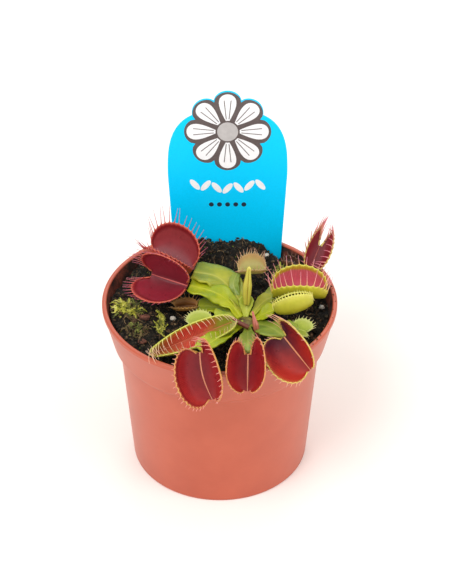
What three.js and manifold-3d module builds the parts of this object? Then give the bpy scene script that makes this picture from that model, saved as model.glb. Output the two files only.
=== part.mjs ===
// A Venus flytrap growing in a plastic nursery pot, with moss and a plant label.
// Millimetres, +Z up. The origin is the centre of the pot's foot, on the surface it stands on.
// +X is right and -Y is the front, the side that the traps hang over.
import * as THREE from "three";
import { mergeVertices } from "three/addons/utils/BufferGeometryUtils.js";
import Module from "manifold-3d";

const wasm = await Module();
wasm.setup();

const UP = new THREE.Vector3(0, 0, 1);
const GAP = 0.3; // free space between two pieces that rest on each other

// Pot: a tapered cup with a wide collar and a thickened lip
const POT_HEIGHT = 68.8;
const RIM_RADIUS = 42.5;
const LIP_WIDTH = 1.7;
const LIP_HEIGHT = 1.8;
const COLLAR_TOP_RADIUS = 42.1;
const COLLAR_BOTTOM_Z = 53.5;
const COLLAR_BOTTOM_RADIUS = 39;
const STEP_BOTTOM_Z = 51;
const STEP_BOTTOM_RADIUS = 36.6;
const BASE_RADIUS = 32.7;
const WALL = 1.3;
const FOOT_WIDTH = 3.4;
const HUB_RADIUS = 12;
const FOOT_HEIGHT = 1.4;
const FLOOR_THICKNESS = 1.6;
const POT_SIDES = 48;
const DRAIN_COUNT = 6;
const DRAIN_RADIUS = 3;
const DRAIN_SIDES = 12;
const DRAIN_CIRCLE_RADIUS = 21;

// Soil: fills the pot to a little under the rim, banked up against the label
const SOIL_LEVEL = 63;
const SOIL_BANK = 8.8;
const SOIL_EDGE_DROP = 6.5;
const SOIL_LEFT_RISE = 2.2;
const SOIL_RINGS = 7;
const SOIL_SIDES = 36;
const SOIL_BUMP = 0.55;

// Crown: the short thick stem that every leaf grows from, standing in a plain hole in the soil
const CROWN = [9.5, -9];
const CROWN_RADIUS = 3.2;
const CROWN_TOP_Z = 66.5;
const CROWN_BOTTOM_Z = 50;

// Label: a plastic tag with a flower-shaped top, on a tapering stake
const TAG_X = 2.9;
const TAG_Y = 31.8; // at the height of the neck
const TAG_THICKNESS = 0.8;
const TAG_LEAN = 0.1;
const TAG_TOP_Z = 125.2;
const TAG_SHOULDER_Z = 99.8;
const TAG_SHOULDER_POWER = 3;
const TAG_HALF_WIDTH = 21.9;
const TAG_FOOT_HALF_WIDTH = 19.8;
const TAG_NECK_Z = 63;
const TAG_STAKE_HALF_WIDTH = 7;
const TAG_STAKE_Z = 48;
const TAG_POINT_Z = 20;
const FLOWER_Z = 117;
const FLOWER_RADIUS = 16;
const FLOWER_PETALS = 8;
const FLOWER_NOTCH = 0.2;

// Leaf blades and traps
const LEAF_THICKNESS = 1.1;
const LEAF_ROWS = 8;
const LEAF_COLUMNS = 4;
const LOBE_THICKNESS = 1.1;
const LOBE_ROWS = 8;
const LOBE_COLUMNS = 3;
const TOOTH_RADIUS = 0.42;
const TOOTH_ROOT = 0.4; // how much of a tooth is sunk in its lobe

// A repeatable random number from 0 to 1
function randomFrom(seed) {
  let state = seed;
  return () => {
    state = (state * 1664525 + 1013904223) % 4294967296;
    return state / 4294967296;
  };
}

const point = (list) => new THREE.Vector3(...list);

// Solids from triangles, and back to drawable geometry

function solidFrom(vertices, triangles) {
  let volume = 0;
  for (const [a, b, c] of triangles) {
    volume += vertices[a].dot(vertices[b].clone().cross(vertices[c]));
  }
  const facing = volume < 0 ? triangles.map(([a, b, c]) => [a, c, b]) : triangles;
  return new wasm.Manifold(
    new wasm.Mesh({
      numProp: 3,
      vertProperties: new Float32Array(vertices.flatMap((v) => [v.x, v.y, v.z])),
      triVerts: new Uint32Array(facing.flat()),
    }),
  );
}

function solidFromGeometry(geometry) {
  geometry.deleteAttribute("normal");
  geometry.deleteAttribute("uv");
  const merged = mergeVertices(geometry, 1e-4);
  return new wasm.Manifold(
    new wasm.Mesh({
      numProp: 3,
      vertProperties: merged.attributes.position.array,
      triVerts: new Uint32Array(merged.index.array),
    }),
  );
}

function geometryFrom(solid) {
  const mesh = solid.getMesh();
  const geometry = new THREE.BufferGeometry();
  geometry.setAttribute("position", new THREE.BufferAttribute(mesh.vertProperties, 3));
  geometry.setIndex(new THREE.BufferAttribute(mesh.triVerts, 1));
  const flat = geometry.toNonIndexed();
  flat.computeVertexNormals();
  return flat;
}

const join = (solids) => wasm.Manifold.union(solids);

// The biggest of a solid's separate bodies
function largest(solid) {
  const bodies = solid.decompose();
  return bodies.reduce((best, body) => (body.volume() > best.volume() ? body : best));
}

// A body turned round the Z axis from [radius, z] pairs that form a closed loop
function turned(profile, sides) {
  const loop = [...profile, profile[0]].map(([r, z]) => new THREE.Vector2(r, z));
  const geometry = new THREE.LatheGeometry(loop, sides);
  geometry.rotateX(Math.PI / 2);
  return solidFromGeometry(geometry);
}

// A closed sheet over a grid of points, with both faces split the same way
function slab(grid, thicknessAt) {
  const rows = grid.length;
  const columns = grid[0].length;
  const vertices = [];
  for (const side of [0.5, -0.5]) {
    for (let i = 0; i < rows; i++) {
      for (let j = 0; j < columns; j++) {
        const along = grid[Math.min(i + 1, rows - 1)][j].clone().sub(grid[Math.max(i - 1, 0)][j]);
        const across = grid[i][Math.min(j + 1, columns - 1)].clone().sub(grid[i][Math.max(j - 1, 0)]);
        const normal = along.cross(across).normalize();
        vertices.push(grid[i][j].clone().addScaledVector(normal, side * thicknessAt(i, j)));
      }
    }
  }
  const at = (side, i, j) => side * rows * columns + i * columns + j;
  const triangles = [];
  for (let i = 0; i < rows - 1; i++) {
    for (let j = 0; j < columns - 1; j++) {
      for (const side of [0, 1]) {
        const corners = [at(side, i, j), at(side, i + 1, j), at(side, i + 1, j + 1), at(side, i, j + 1)];
        if (side) corners.reverse();
        const [a, b, c, d] = corners;
        const halves = side ? [[a, b, d], [b, c, d]] : [[a, b, c], [a, c, d]];
        triangles.push(...halves);
      }
    }
  }
  const border = [];
  for (let j = 0; j < columns - 1; j++) border.push([0, j]);
  for (let i = 0; i < rows - 1; i++) border.push([i, columns - 1]);
  for (let j = columns - 1; j > 0; j--) border.push([rows - 1, j]);
  for (let i = rows - 1; i > 0; i--) border.push([i, 0]);
  border.forEach(([i, j], k) => {
    const [i2, j2] = border[(k + 1) % border.length];
    const [a, b, c, d] = [at(0, i, j), at(0, i2, j2), at(1, i2, j2), at(1, i, j)];
    triangles.push([a, b, c], [a, c, d]);
  });
  return solidFrom(vertices, triangles);
}

// A closed tube through the given points, with one radius for each; a radius of 0 makes a point
function tube(points, radii, sides) {
  const vertices = [];
  const rings = points.map((p, i) => {
    const ahead = points[Math.min(i + 1, points.length - 1)];
    const behind = points[Math.max(i - 1, 0)];
    const along = ahead.clone().sub(behind).normalize();
    const reference = Math.abs(along.z) > 0.8 ? new THREE.Vector3(1, 0, 0) : UP;
    const side = reference.clone().cross(along).normalize();
    const other = along.clone().cross(side);
    const ring = [];
    for (let k = 0; k < (radii[i] > 0 ? sides : 1); k++) {
      const angle = (2 * Math.PI * k) / sides;
      ring.push(vertices.length);
      const offset = side.clone().multiplyScalar(radii[i] * Math.cos(angle));
      offset.addScaledVector(other, radii[i] * Math.sin(angle));
      vertices.push(p.clone().add(offset));
    }
    return ring;
  });
  const triangles = [];
  for (let i = 0; i < rings.length - 1; i++) {
    const [low, high] = [rings[i], rings[i + 1]];
    for (let k = 0; k < sides; k++) {
      const next = (k + 1) % sides;
      if (low.length > 1) triangles.push([low[k], low[next], high[high.length > 1 ? next : 0]]);
      if (high.length > 1) triangles.push([low[low.length > 1 ? k : 0], high[next], high[k]]);
    }
  }
  const first = rings[0];
  const last = rings[rings.length - 1];
  for (let k = 1; k < first.length - 1; k++) triangles.push([first[0], first[k + 1], first[k]]);
  for (let k = 1; k < last.length - 1; k++) triangles.push([last[0], last[k], last[k + 1]]);
  return solidFrom(vertices, triangles);
}

// Moves the first and last rows of a grid outwards by the given distance
function lengthen(grid, alongStart, alongEnd, distance) {
  for (const p of grid[0]) p.addScaledVector(alongStart, -distance);
  for (const p of grid[grid.length - 1]) p.addScaledVector(alongEnd, distance);
}

const spike = (root, direction, length, radius) =>
  tube([root, root.clone().addScaledVector(direction, length)], [radius, 0], 3);

// Pot

function buildPot() {
  const inner = RIM_RADIUS - LIP_WIDTH;
  const lipBottom = POT_HEIGHT - LIP_HEIGHT;
  const cup = turned(
    [
      [BASE_RADIUS - FOOT_WIDTH, 0],
      [BASE_RADIUS - 0.4, 0],
      [BASE_RADIUS, 0.5],
      [STEP_BOTTOM_RADIUS, STEP_BOTTOM_Z],
      [COLLAR_BOTTOM_RADIUS - 0.3, COLLAR_BOTTOM_Z - 0.5],
      [COLLAR_BOTTOM_RADIUS, COLLAR_BOTTOM_Z],
      [COLLAR_TOP_RADIUS, lipBottom],
      [RIM_RADIUS, lipBottom + 0.3],
      [RIM_RADIUS, POT_HEIGHT - 0.5],
      [RIM_RADIUS - 0.5, POT_HEIGHT],
      [inner + 0.3, POT_HEIGHT],
      [inner, POT_HEIGHT - 0.4],
      [COLLAR_BOTTOM_RADIUS - WALL, COLLAR_BOTTOM_Z],
      [STEP_BOTTOM_RADIUS - WALL, STEP_BOTTOM_Z],
      [BASE_RADIUS - WALL, FOOT_HEIGHT + FLOOR_THICKNESS],
      [0, FOOT_HEIGHT + FLOOR_THICKNESS],
      [0, 0],
      [HUB_RADIUS, 0],
      [HUB_RADIUS, FOOT_HEIGHT],
      [BASE_RADIUS - FOOT_WIDTH, FOOT_HEIGHT],
    ],
    POT_SIDES,
  );
  const holes = [];
  for (let k = 0; k < DRAIN_COUNT; k++) {
    const angle = (2 * Math.PI * (k + 0.5)) / DRAIN_COUNT;
    const [x, y] = [DRAIN_CIRCLE_RADIUS * Math.cos(angle), DRAIN_CIRCLE_RADIUS * Math.sin(angle)];
    const [below, above] = [point([x, y, -1]), point([x, y, FOOT_HEIGHT + FLOOR_THICKNESS + 1])];
    holes.push(tube([below, above], [DRAIN_RADIUS, DRAIN_RADIUS], DRAIN_SIDES));
  }
  return cup.subtract(join(holes));
}

// Soil

// The soil's height: a bed with low bumps that rises to the left, banked up against the label's left half
function soilHeight(x, y) {
  const { smoothstep } = THREE.MathUtils;
  const bank = smoothstep(y, 12, 32) * (1 - 0.42 * smoothstep(x, 6, 24)) * SOIL_BANK;
  const drop = smoothstep(Math.hypot(x, y), 34, 40) * smoothstep(y, 5, 30) * SOIL_EDGE_DROP;
  const rise = smoothstep(-x, 12, 36) * SOIL_LEFT_RISE;
  const bumps = Math.sin(x * 0.31 + 1) * Math.cos(y * 0.27) + Math.sin(x * 0.17 - y * 0.41);
  return SOIL_LEVEL + bank - drop + rise + SOIL_BUMP * bumps;
}

function buildSoil() {
  const bottomZ = FOOT_HEIGHT + FLOOR_THICKNESS + GAP;
  const slope = (RIM_RADIUS - LIP_WIDTH - COLLAR_BOTTOM_RADIUS + WALL) / (POT_HEIGHT - COLLAR_BOTTOM_Z);
  const sideRadius = (z) => COLLAR_BOTTOM_RADIUS - WALL + slope * (z - COLLAR_BOTTOM_Z) - GAP - 0.1;
  const vertices = [new THREE.Vector3(0, 0, soilHeight(0, 0))];
  const addRing = (radius, heightAt) => {
    for (let k = 0; k < SOIL_SIDES; k++) {
      const angle = (2 * Math.PI * k) / SOIL_SIDES;
      const [x, y] = [radius * Math.cos(angle), radius * Math.sin(angle)];
      const z = heightAt(x, y);
      const share = z > COLLAR_BOTTOM_Z ? Math.min(1, sideRadius(z) / radius) : 1;
      vertices.push(new THREE.Vector3(x * share, y * share, z));
    }
  };
  const outer = sideRadius(SOIL_LEVEL - 1);
  for (let i = 1; i <= SOIL_RINGS; i++) addRing((outer * i) / SOIL_RINGS, soilHeight);
  addRing(COLLAR_BOTTOM_RADIUS - WALL - GAP - 0.1, () => COLLAR_BOTTOM_Z);
  addRing(STEP_BOTTOM_RADIUS - WALL - GAP - 0.2, () => STEP_BOTTOM_Z - 0.5);
  addRing(BASE_RADIUS - WALL - GAP - 0.2, () => bottomZ);
  vertices.push(new THREE.Vector3(0, 0, bottomZ));
  const rings = SOIL_RINGS + 3;
  const at = (ring, k) => 1 + (ring - 1) * SOIL_SIDES + (k % SOIL_SIDES);
  const triangles = [];
  for (let k = 0; k < SOIL_SIDES; k++) {
    triangles.push([0, at(1, k), at(1, k + 1)]);
    for (let i = 1; i < rings; i++) {
      const [a, b, c, d] = [at(i, k), at(i + 1, k), at(i + 1, k + 1), at(i, k + 1)];
      triangles.push([a, b, c], [a, c, d]);
    }
    triangles.push([at(rings, k), vertices.length - 1, at(rings, k + 1)]);
  }
  return solidFrom(vertices, triangles);
}

// Crown

function buildCrown(grow = 0) {
  const [x, y] = CROWN;
  const radius = CROWN_RADIUS + grow;
  return tube(
    [point([x, y, CROWN_BOTTOM_Z - grow]), point([x, y, 62]), point([x, y, CROWN_TOP_Z + grow])],
    [radius * 0.6, radius, radius * 0.7],
    10,
  );
}

// Label

// The right half of the paddle and its stake, from the top middle down, widened by grow
function tagSide(grow) {
  const side = [];
  const steps = 12;
  for (let k = 0; k <= steps; k++) {
    const angle = (Math.PI / 2) * (k / steps);
    const x = TAG_HALF_WIDTH * Math.sin(angle) ** (2 / TAG_SHOULDER_POWER);
    const rise = (TAG_TOP_Z - TAG_SHOULDER_Z) * Math.cos(angle) ** (2 / TAG_SHOULDER_POWER);
    side.push([x, TAG_SHOULDER_Z + rise]);
  }
  side.push([TAG_FOOT_HALF_WIDTH, TAG_NECK_Z], [TAG_FOOT_HALF_WIDTH - 2, TAG_NECK_Z - 2.5]);
  side.push([TAG_STAKE_HALF_WIDTH, TAG_STAKE_Z], [TAG_STAKE_HALF_WIDTH - 1, TAG_POINT_Z + 6]);
  return side.map(([x, z], i) => [i ? x + grow : x, z]);
}

function tagOutline(grow) {
  const side = tagSide(grow);
  const mirrored = side.slice(1).reverse();
  const points = [...side, [0, TAG_POINT_Z - grow], ...mirrored.map(([x, z]) => [-x, z])];
  return new THREE.Shape(points.map(([x, z]) => new THREE.Vector2(x, z - TAG_NECK_Z)));
}

// The printed flower's round petals stand out over the top of the paddle
function flowerOutline() {
  const steps = FLOWER_PETALS * 6;
  const points = [];
  for (let k = 0; k < steps; k++) {
    const angle = (2 * Math.PI * k) / steps;
    const petal = Math.abs(Math.cos((FLOWER_PETALS / 2) * angle)) ** 0.6;
    const radius = FLOWER_RADIUS * (1 - FLOWER_NOTCH * (1 - petal));
    const height = FLOWER_Z - TAG_NECK_Z + radius * Math.cos(angle);
    points.push(new THREE.Vector2(radius * Math.sin(angle), height));
  }
  return new THREE.Shape(points);
}

function tagPlate(shape, thickness) {
  const plate = new THREE.ExtrudeGeometry(shape, { depth: thickness, bevelEnabled: false });
  plate.translate(0, 0, -thickness / 2);
  plate.rotateX(Math.PI / 2 - TAG_LEAN);
  plate.translate(TAG_X, TAG_Y, TAG_NECK_Z);
  return solidFromGeometry(plate);
}

const buildTag = () =>
  tagPlate(tagOutline(0), TAG_THICKNESS).add(tagPlate(flowerOutline(), TAG_THICKNESS));

// The slot that the tag's foot and stake stand in
const buildTagSlot = () => tagPlate(tagOutline(GAP), TAG_THICKNESS + 2 * GAP);

// The traps. base and tip are the ends of the midrib, at the leaf and at the far end. Each reach runs
// from the middle of the midrib to the middle of one lobe's edge. A lobe's edge is part of an ellipse,
// and its dips say how far it runs on past the midrib's base and past its tip (radians of the ellipse).
// A taper over 1 narrows a lobe towards its tip, cup is how deeply the lobes bulge outwards, and bow
// bends the midrib by that much in its middle. teeth is the count on each lobe, toothLengths their
// length at the base end and at the tip end, and leans how far they turn inwards (radians).
const TRAPS = [
  {
    name: "trap_back_left", base: [-10.5, 9.5, 74], tip: [-25, 17.5, 76],
    reaches: [[5, 2.5, 14.5], [2, -8.5, 8]], dips: [[0.55, 0.55], [0.55, 0.55]], cup: 0.2,
    teeth: 10, toothLengths: [[4.5, 8], [3, 6]], leans: [0.15, 0.15],
  },
  {
    name: "trap_front_left", base: [-11.5, 1, 74], tip: [-24.5, 8, 74],
    reaches: [[-2, -4.5, 14], [-5, -13.5, -0.5]], dips: [[0.6, 0.75], [0.25, 0.9]], cup: 0.16,
    teeth: 10, toothLengths: [[2.5, 8], [1.2, 5.5]], leans: [0.5, 0.4],
  },
  {
    name: "trap_right_open", base: [19.6, 1, 69.6], tip: [37.8, 1, 69.4],
    reaches: [[0, 4.5, 10.4], [0, -6.5, 9.2]], dips: [[0.4, 0.4], [0.4, 0.4]], cup: 0.2,
    teeth: 10, toothLengths: [[5.5, 3], [6.5, 6]], leans: [0.3, 0.9],
  },
  {
    name: "trap_right_closed", colour: "trapGreen", base: [20.1, -8.8, 70.6], tip: [33, -6.8, 73.2],
    reaches: [[0.5, -3.8, 7.5], [0.5, -2.3, 7.4]], dips: [[0.45, 0.3], [0.45, 0.3]], cup: 0.36,
    bow: [0, -0.4, -2],
    teeth: 8, toothLengths: [[1.8, 1.8], [1.8, 1.8]], leans: [0.9, 0.9],
  },
  {
    name: "trap_back_right", base: [33.2, 17.5, 69], tip: [36.8, 22.8, 76],
    reaches: [[-3.6, -1, 3.4], [4.6, -3.4, 0.8]], dips: [[0.15, 1.35], [0.15, 1.35]], cup: 0.16,
    tapers: [1.6, 1.6],
    teeth: 7, toothLengths: [[2, 8], [3, 6]], leans: [0.5, 1.1],
  },
  {
    name: "trap_back_pale", colour: "trapPale", base: [7, 7.6, 75.3], tip: [16.4, 7.9, 75.5],
    reaches: [[0, 4.2, 4.9], [0, -3.8, 3.3]], dips: [[0.3, 0.3], [0.3, 0.3]], cup: 0.15,
    teeth: 8, toothLengths: [[1.8, 2.6], [1.8, 2.6]], leans: [0.2, 0.2],
  },
  {
    name: "trap_left_side", base: [4.3, -16.2, 70.8], tip: [-23.4, -29.1, 66.8],
    reaches: [[-1.4, -3.7, 8.7], [0.4, -12, 5]], dips: [[0.12, 0.3], [0.12, 0.3]], cup: 0.15,
    tapers: [2, 2],
    teeth: 11, toothLengths: [[2, 7], [2, 4.5]], leans: [1.1, 0.9],
  },
  {
    name: "trap_front_hanging_left", base: [-6.5, -42, 78], tip: [-2.3, -47.3, 61.6],
    reaches: [[-11, -4, 3.5], [5, -8.5, 6.5]], dips: [[0.76, 0.47], [1.06, 0.15]], cup: 0.2,
    bow: [-1.1, 0, 0],
    tapers: [1, 1.5],
    teeth: 10, toothLengths: [[2, 3], [6, 1.5]], leans: [0.3, 0.9],
  },
  {
    name: "trap_front_hanging_middle", base: [9.9, -40.5, 76], tip: [9.7, -45.8, 64],
    reaches: [[-7.5, -7, 5], [5.8, -7.5, 5.5]], dips: [[1.15, 0.2], [1.25, 0.1]], cup: 0.18,
    tapers: [1.4, 1.4],
    teeth: 10, toothLengths: [[4, 1.2], [4, 1.2]], leans: [0.5, 0.7],
  },
  {
    name: "trap_front_hanging_right", base: [22.5, -31, 76], tip: [31.6, -37.9, 66.9],
    reaches: [[-7, -10.5, -3], [1.5, -4, 10]], dips: [[0.8, 0.42], [1.1, 0.1]], cup: 0.18,
    tapers: [1, 1.5],
    teeth: 10, toothLengths: [[2, 2.5], [8.5, 1.5]], leans: [0.2, 0.5],
  },
  {
    name: "trap_right_small", colour: "trapPale", base: [25.5, -13.5, 66.3], tip: [30.8, -16, 66],
    reaches: [[3, 3.5, 2], [-1, -4, 1]], dips: [[0.2, 0.9], [0.2, 0.9]], cup: 0.1,
    teeth: 6, toothLengths: [[1.1, 1.4], [1.1, 1.4]], leans: [0.1, 0.1],
  },
  {
    name: "trap_left_small", colour: "withered", base: [-8.5, -1.3, 66.3], tip: [-15.5, -1.3, 65.9],
    reaches: [[0, 3, 2], [0, -3.2, 2]], dips: [[0.45, 0.75], [0.45, 0.75]], cup: 0.25,
    teeth: 5, toothLengths: [[1.8, 1.8], [1.8, 1.8]], leans: [0.3, 0.3],
  },
  {
    name: "trap_left_pale", colour: "trapPale", base: [-2.8, -10.8, 67], tip: [-9.6, -13.2, 66.5],
    reaches: [[0, 6, 2], [0, -5, 1]], dips: [[0.45, 0.75], [0.45, 0.75]], cup: 0.1,
    teeth: 7, toothLengths: [[0.8, 1.1], [0.8, 1.1]], leans: [0.1, 0.1],
  },
  {
    name: "trap_withered", colour: "withered", base: [28, 23.8, 64.9], tip: [23.6, 25.8, 65.5],
    reaches: [[1, 2.5, 3], [-0.5, -2, 3.5]], dips: [[0.5, 0.5], [0.5, 0.5]], cup: 0.2,
    teeth: 4, toothLengths: [[1.5, 1.5], [1.5, 1.5]], leans: [0.5, 0.5],
  },
];

const END_WIDTH = 0.14; // half width of a trap at the ends of its midrib, as a share of the lobe width

function lobeFrame(trap, index) {
  const base = point(trap.base);
  const tip = point(trap.tip);
  const along = tip.clone().sub(base);
  const length = along.length();
  along.normalize();
  const outward = (reach) => {
    const across = point(reach);
    return across.addScaledVector(along, -across.dot(along));
  };
  const across = outward(trap.reaches[index]);
  const width = across.length();
  across.normalize();
  const inward = along.clone().cross(across);
  if (inward.dot(outward(trap.reaches[1 - index])) < 0) inward.negate();
  const [dips, lengths, lean] = [trap.dips[index], trap.toothLengths[index], trap.leans[index]];
  const taper = trap.tapers ? trap.tapers[index] : 1;
  return { base, along, across, inward, length, width, dips, taper, lengths, lean };
}

// The point of a lobe at u along the midrib and v from midrib (0) to edge (1)
function lobePoint(trap, frame, u, v) {
  const { base, along, across, inward, length, width } = frame;
  const [baseDip, tipDip] = frame.dips;
  const angle = THREE.MathUtils.lerp(Math.PI + baseDip, -tipDip, u);
  const edgeX = (length * (Math.cos(baseDip) + Math.cos(angle))) / (Math.cos(baseDip) + Math.cos(tipDip));
  const sine = Math.sin(angle > Math.PI / 2 ? baseDip : tipDip);
  const centre = (sine + END_WIDTH) / (1 + sine);
  const swing = Math.sin(angle);
  const rounded = angle > Math.PI / 2 ? swing : Math.sign(swing) * Math.abs(swing) ** frame.taper;
  const edgeS = width * (centre + (1 - centre) * rounded);
  const bulge = trap.cup * width * Math.sin(Math.PI * v) * (0.3 + 0.7 * Math.sin(Math.PI * u));
  const bow = point(trap.bow ?? [0, 0, 0]).multiplyScalar(Math.sin(Math.PI * u) * (1 - v));
  return base
    .clone()
    .add(bow)
    .addScaledVector(along, THREE.MathUtils.lerp(length * u, edgeX, v))
    .addScaledVector(across, edgeS * v)
    .addScaledVector(inward, -bulge);
}

// Both lobes in one folded sheet, from one edge over the midrib to the other
function trapBlade(trap, frames, grow) {
  const grid = [];
  for (let i = 0; i <= LOBE_ROWS; i++) {
    const row = [];
    for (let j = -LOBE_COLUMNS; j <= LOBE_COLUMNS; j++) {
      const frame = frames[j < 0 ? 0 : 1];
      row.push(lobePoint(trap, frame, i / LOBE_ROWS, Math.abs(j) / LOBE_COLUMNS));
    }
    row[0].add(row[0].clone().sub(row[1]).setLength(grow));
    row.at(-1).add(row.at(-1).clone().sub(row.at(-2)).setLength(grow));
    grid.push(row);
  }
  lengthen(grid, frames[0].along, frames[0].along, grow);
  return slab(grid, () => LOBE_THICKNESS + 2 * grow);
}

// The teeth round one lobe's edge, each rooted well inside it
function lobeTeeth(trap, frame, grow) {
  const teeth = [];
  for (let k = 0; k < trap.teeth; k++) {
    const u = 0.06 + (0.88 * (k + 0.5)) / trap.teeth;
    const edge = lobePoint(trap, frame, u, 1);
    const inside = lobePoint(trap, frame, u, 0.93);
    const direction = edge.clone().sub(lobePoint(trap, frame, u, 0.6));
    direction.addScaledVector(frame.inward, -direction.dot(frame.inward)).normalize();
    direction.multiplyScalar(Math.cos(frame.lean)).addScaledVector(frame.inward, Math.sin(frame.lean));
    const length = THREE.MathUtils.lerp(...frame.lengths, u) + TOOTH_ROOT;
    teeth.push(spike(inside, direction.normalize(), length + grow, TOOTH_RADIUS + grow));
  }
  return teeth;
}

function buildTrap(trap, grow = 0) {
  const frames = [lobeFrame(trap, 0), lobeFrame(trap, 1)];
  const teeth = frames.flatMap((frame) => lobeTeeth(trap, frame, grow));
  return largest(join([trapBlade(trap, frames, grow), ...teeth]));
}

// The leaf blades that carry the traps. path runs from the crown to the trap; width is the blade's
// full width at its widest, fold how far its two halves turn up and wave how much its edges ripple.
const LEAVES = [
  {
    name: "leaf_young", path: [[9.5, -6.2, 66.6], [9.6, -4.6, 69], [9.7, -2.6, 72]],
    width: 5, fold: 0.5, wave: 0, seed: 14,
  },
  {
    name: "leaf_back_left",
    path: [[8.1, -4.1, 67], [5.9, 1, 69.6], [2.3, 4.5, 72], [-2, 7.2, 73.6], [-9.4, 9.1, 73.9]],
    width: 13.5, fold: 0.15, wave: 1.6, seed: 1,
  },
  {
    name: "leaf_front_left",
    path: [[6.8, -6.5, 66.5], [4.7, -4, 68.5], [0.9, -1.8, 71], [-4, -0.8, 73], [-10.8, 0.8, 74]],
    width: 11, fold: 0.15, wave: 1.5, seed: 2,
  },
  {
    name: "leaf_left_small",
    path: [[6, -7.5, 65.5], [2, -3.5, 66.3], [-2.5, -1.9, 66.5], [-7.8, -1.3, 66.2]],
    width: 8.5, fold: 0.2, wave: 0.5, seed: 3,
  },
  {
    name: "leaf_left_pale", path: [[6, -9.5, 65], [3.5, -9.5, 66], [1, -10, 66.7], [-1.2, -10.5, 66.9]],
    width: 11.5, fold: 0.2, wave: 0.5, seed: 4,
  },
  {
    name: "leaf_right", path: [[12.2, -6.4, 67], [14.5, -3.2, 68], [17, -0.4, 68.5], [19, 0.8, 68.5]],
    width: 5.5, fold: 0.4, wave: 0.3, seed: 5,
  },
  {
    name: "leaf_right_low",
    path: [[12.9, -8.6, 66], [15, -8.6, 67.5], [17.5, -8.7, 69.1], [19.6, -8.8, 70.1]],
    width: 8, fold: 0.3, wave: 0.4, seed: 6,
  },
  {
    name: "leaf_front_right",
    path: [[12.8, -11.5, 66], [16, -15, 68], [19, -21.5, 71.5], [22, -30.3, 75.7]],
    width: 14.5, fold: 0.2, wave: 0.6, seed: 7,
  },
  {
    name: "leaf_right_small",
    path: [[13, -10.6, 64.6], [17, -12, 65.2], [21, -13, 65.8], [24.8, -13.4, 66.2]],
    width: 6, fold: 0.2, wave: 0.4, seed: 8,
  },
  {
    name: "leaf_back_right", path: [[11.7, -5.2, 66], [19, 8, 65.5], [27, 14, 67.5], [33, 17, 69.6]],
    width: 5, fold: 0.3, wave: 0.4, seed: 9,
  },
  {
    name: "leaf_back_pale", path: [[9.3, -5, 67], [6.2, 0.4, 69.2], [5.1, 4.2, 72.4], [6.5, 7.2, 74.9]],
    width: 3.6, fold: 0.3, wave: 0.4, seed: 10,
  },
  {
    name: "leaf_left_side", path: [[6.9, -11, 66.5], [6.2, -13, 68.6], [4.9, -15.3, 70.2]],
    width: 5, fold: 0.3, wave: 0.3, seed: 11,
  },
  {
    name: "leaf_front_hanging_left",
    path: [[7.5, -12.3, 66], [3, -22, 70], [-1.5, -32, 75], [-6.2, -41.1, 78.2]],
    width: 7.5, fold: 0.35, wave: 0.4, seed: 12,
  },
  {
    name: "leaf_front_hanging_middle",
    path: [[10, -13, 66], [10, -23, 70], [9.9, -33, 74.5], [9.9, -39.6, 76.2]],
    width: 6.5, fold: 0.35, wave: 0.4, seed: 13,
  },
];

// Half the blade's width at t from crown (0) to trap (1), as a share of its widest
const LEAF_WIDTHS = [0.3, 0.4, 0.5, 0.64, 0.8, 0.92, 1, 1, 0.7];

function sampleWidths(t) {
  const place = t * (LEAF_WIDTHS.length - 1);
  const index = Math.min(Math.floor(place), LEAF_WIDTHS.length - 2);
  return THREE.MathUtils.lerp(LEAF_WIDTHS[index], LEAF_WIDTHS[index + 1], place - index);
}

function buildLeaf(leaf, grow = 0) {
  const curve = new THREE.CatmullRomCurve3(leaf.path.map(point));
  const random = randomFrom(leaf.seed * 7919);
  const phase = random() * 2 * Math.PI;
  const grid = [];
  for (let i = 0; i <= LEAF_ROWS; i++) {
    const t = i / LEAF_ROWS;
    const along = curve.getTangent(t);
    const across = along.clone().cross(UP).normalize();
    const normal = across.clone().cross(along);
    const half = (sampleWidths(t) * leaf.width) / 2 + grow;
    const row = [];
    for (let j = 0; j <= LEAF_COLUMNS; j++) {
      const s = (2 * j) / LEAF_COLUMNS - 1;
      const fade = Math.sin(Math.PI * t) ** 0.6;
      const ripple = leaf.wave * s * s * Math.sin(9 * t + phase + 2 * s) * fade;
      row.push(
        curve
          .getPoint(t)
          .addScaledVector(across, s * half)
          .addScaledVector(normal, Math.abs(s) * half * leaf.fold + ripple),
      );
    }
    grid.push(row);
  }
  lengthen(grid, curve.getTangent(0), curve.getTangent(1), grow);
  return slab(grid, () => LEAF_THICKNESS + 2 * grow);
}

// The young leaves: rolled spindles that taper at both ends, from the crown upwards
const BUDS = [
  {
    name: "trap_young", path: [[9.7, -5.4, 70.5], [9.9, -4.6, 78], [10.5, -4.2, 86.5]],
    radii: [1.05, 1.65, 0.8],
  },
  {
    name: "bud_red", path: [[10.4, -16.6, 68.7], [7.4, -15.6, 69.8], [3.2, -13.4, 71.3]],
    radii: [0.9, 0.9, 0.4], colour: "budRed",
  },
  {
    name: "bud_pink", path: [[13.6, -20, 67.5], [12.8, -19.4, 71.8], [11.6, -16.9, 76.3]],
    radii: [0.9, 1.1, 0.4], colour: "budRed",
  },
];

function buildBud(bud, grow = 0) {
  const curve = new THREE.CatmullRomCurve3(bud.path.map(point));
  const steps = 6;
  const radii = [];
  for (let i = 0; i <= steps; i++) {
    const t = (2 * i) / steps;
    const index = Math.min(Math.floor(t), 1);
    radii.push(THREE.MathUtils.lerp(bud.radii[index], bud.radii[index + 1], t - index) + grow);
  }
  return tube(curve.getPoints(steps), radii, 7);
}

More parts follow.
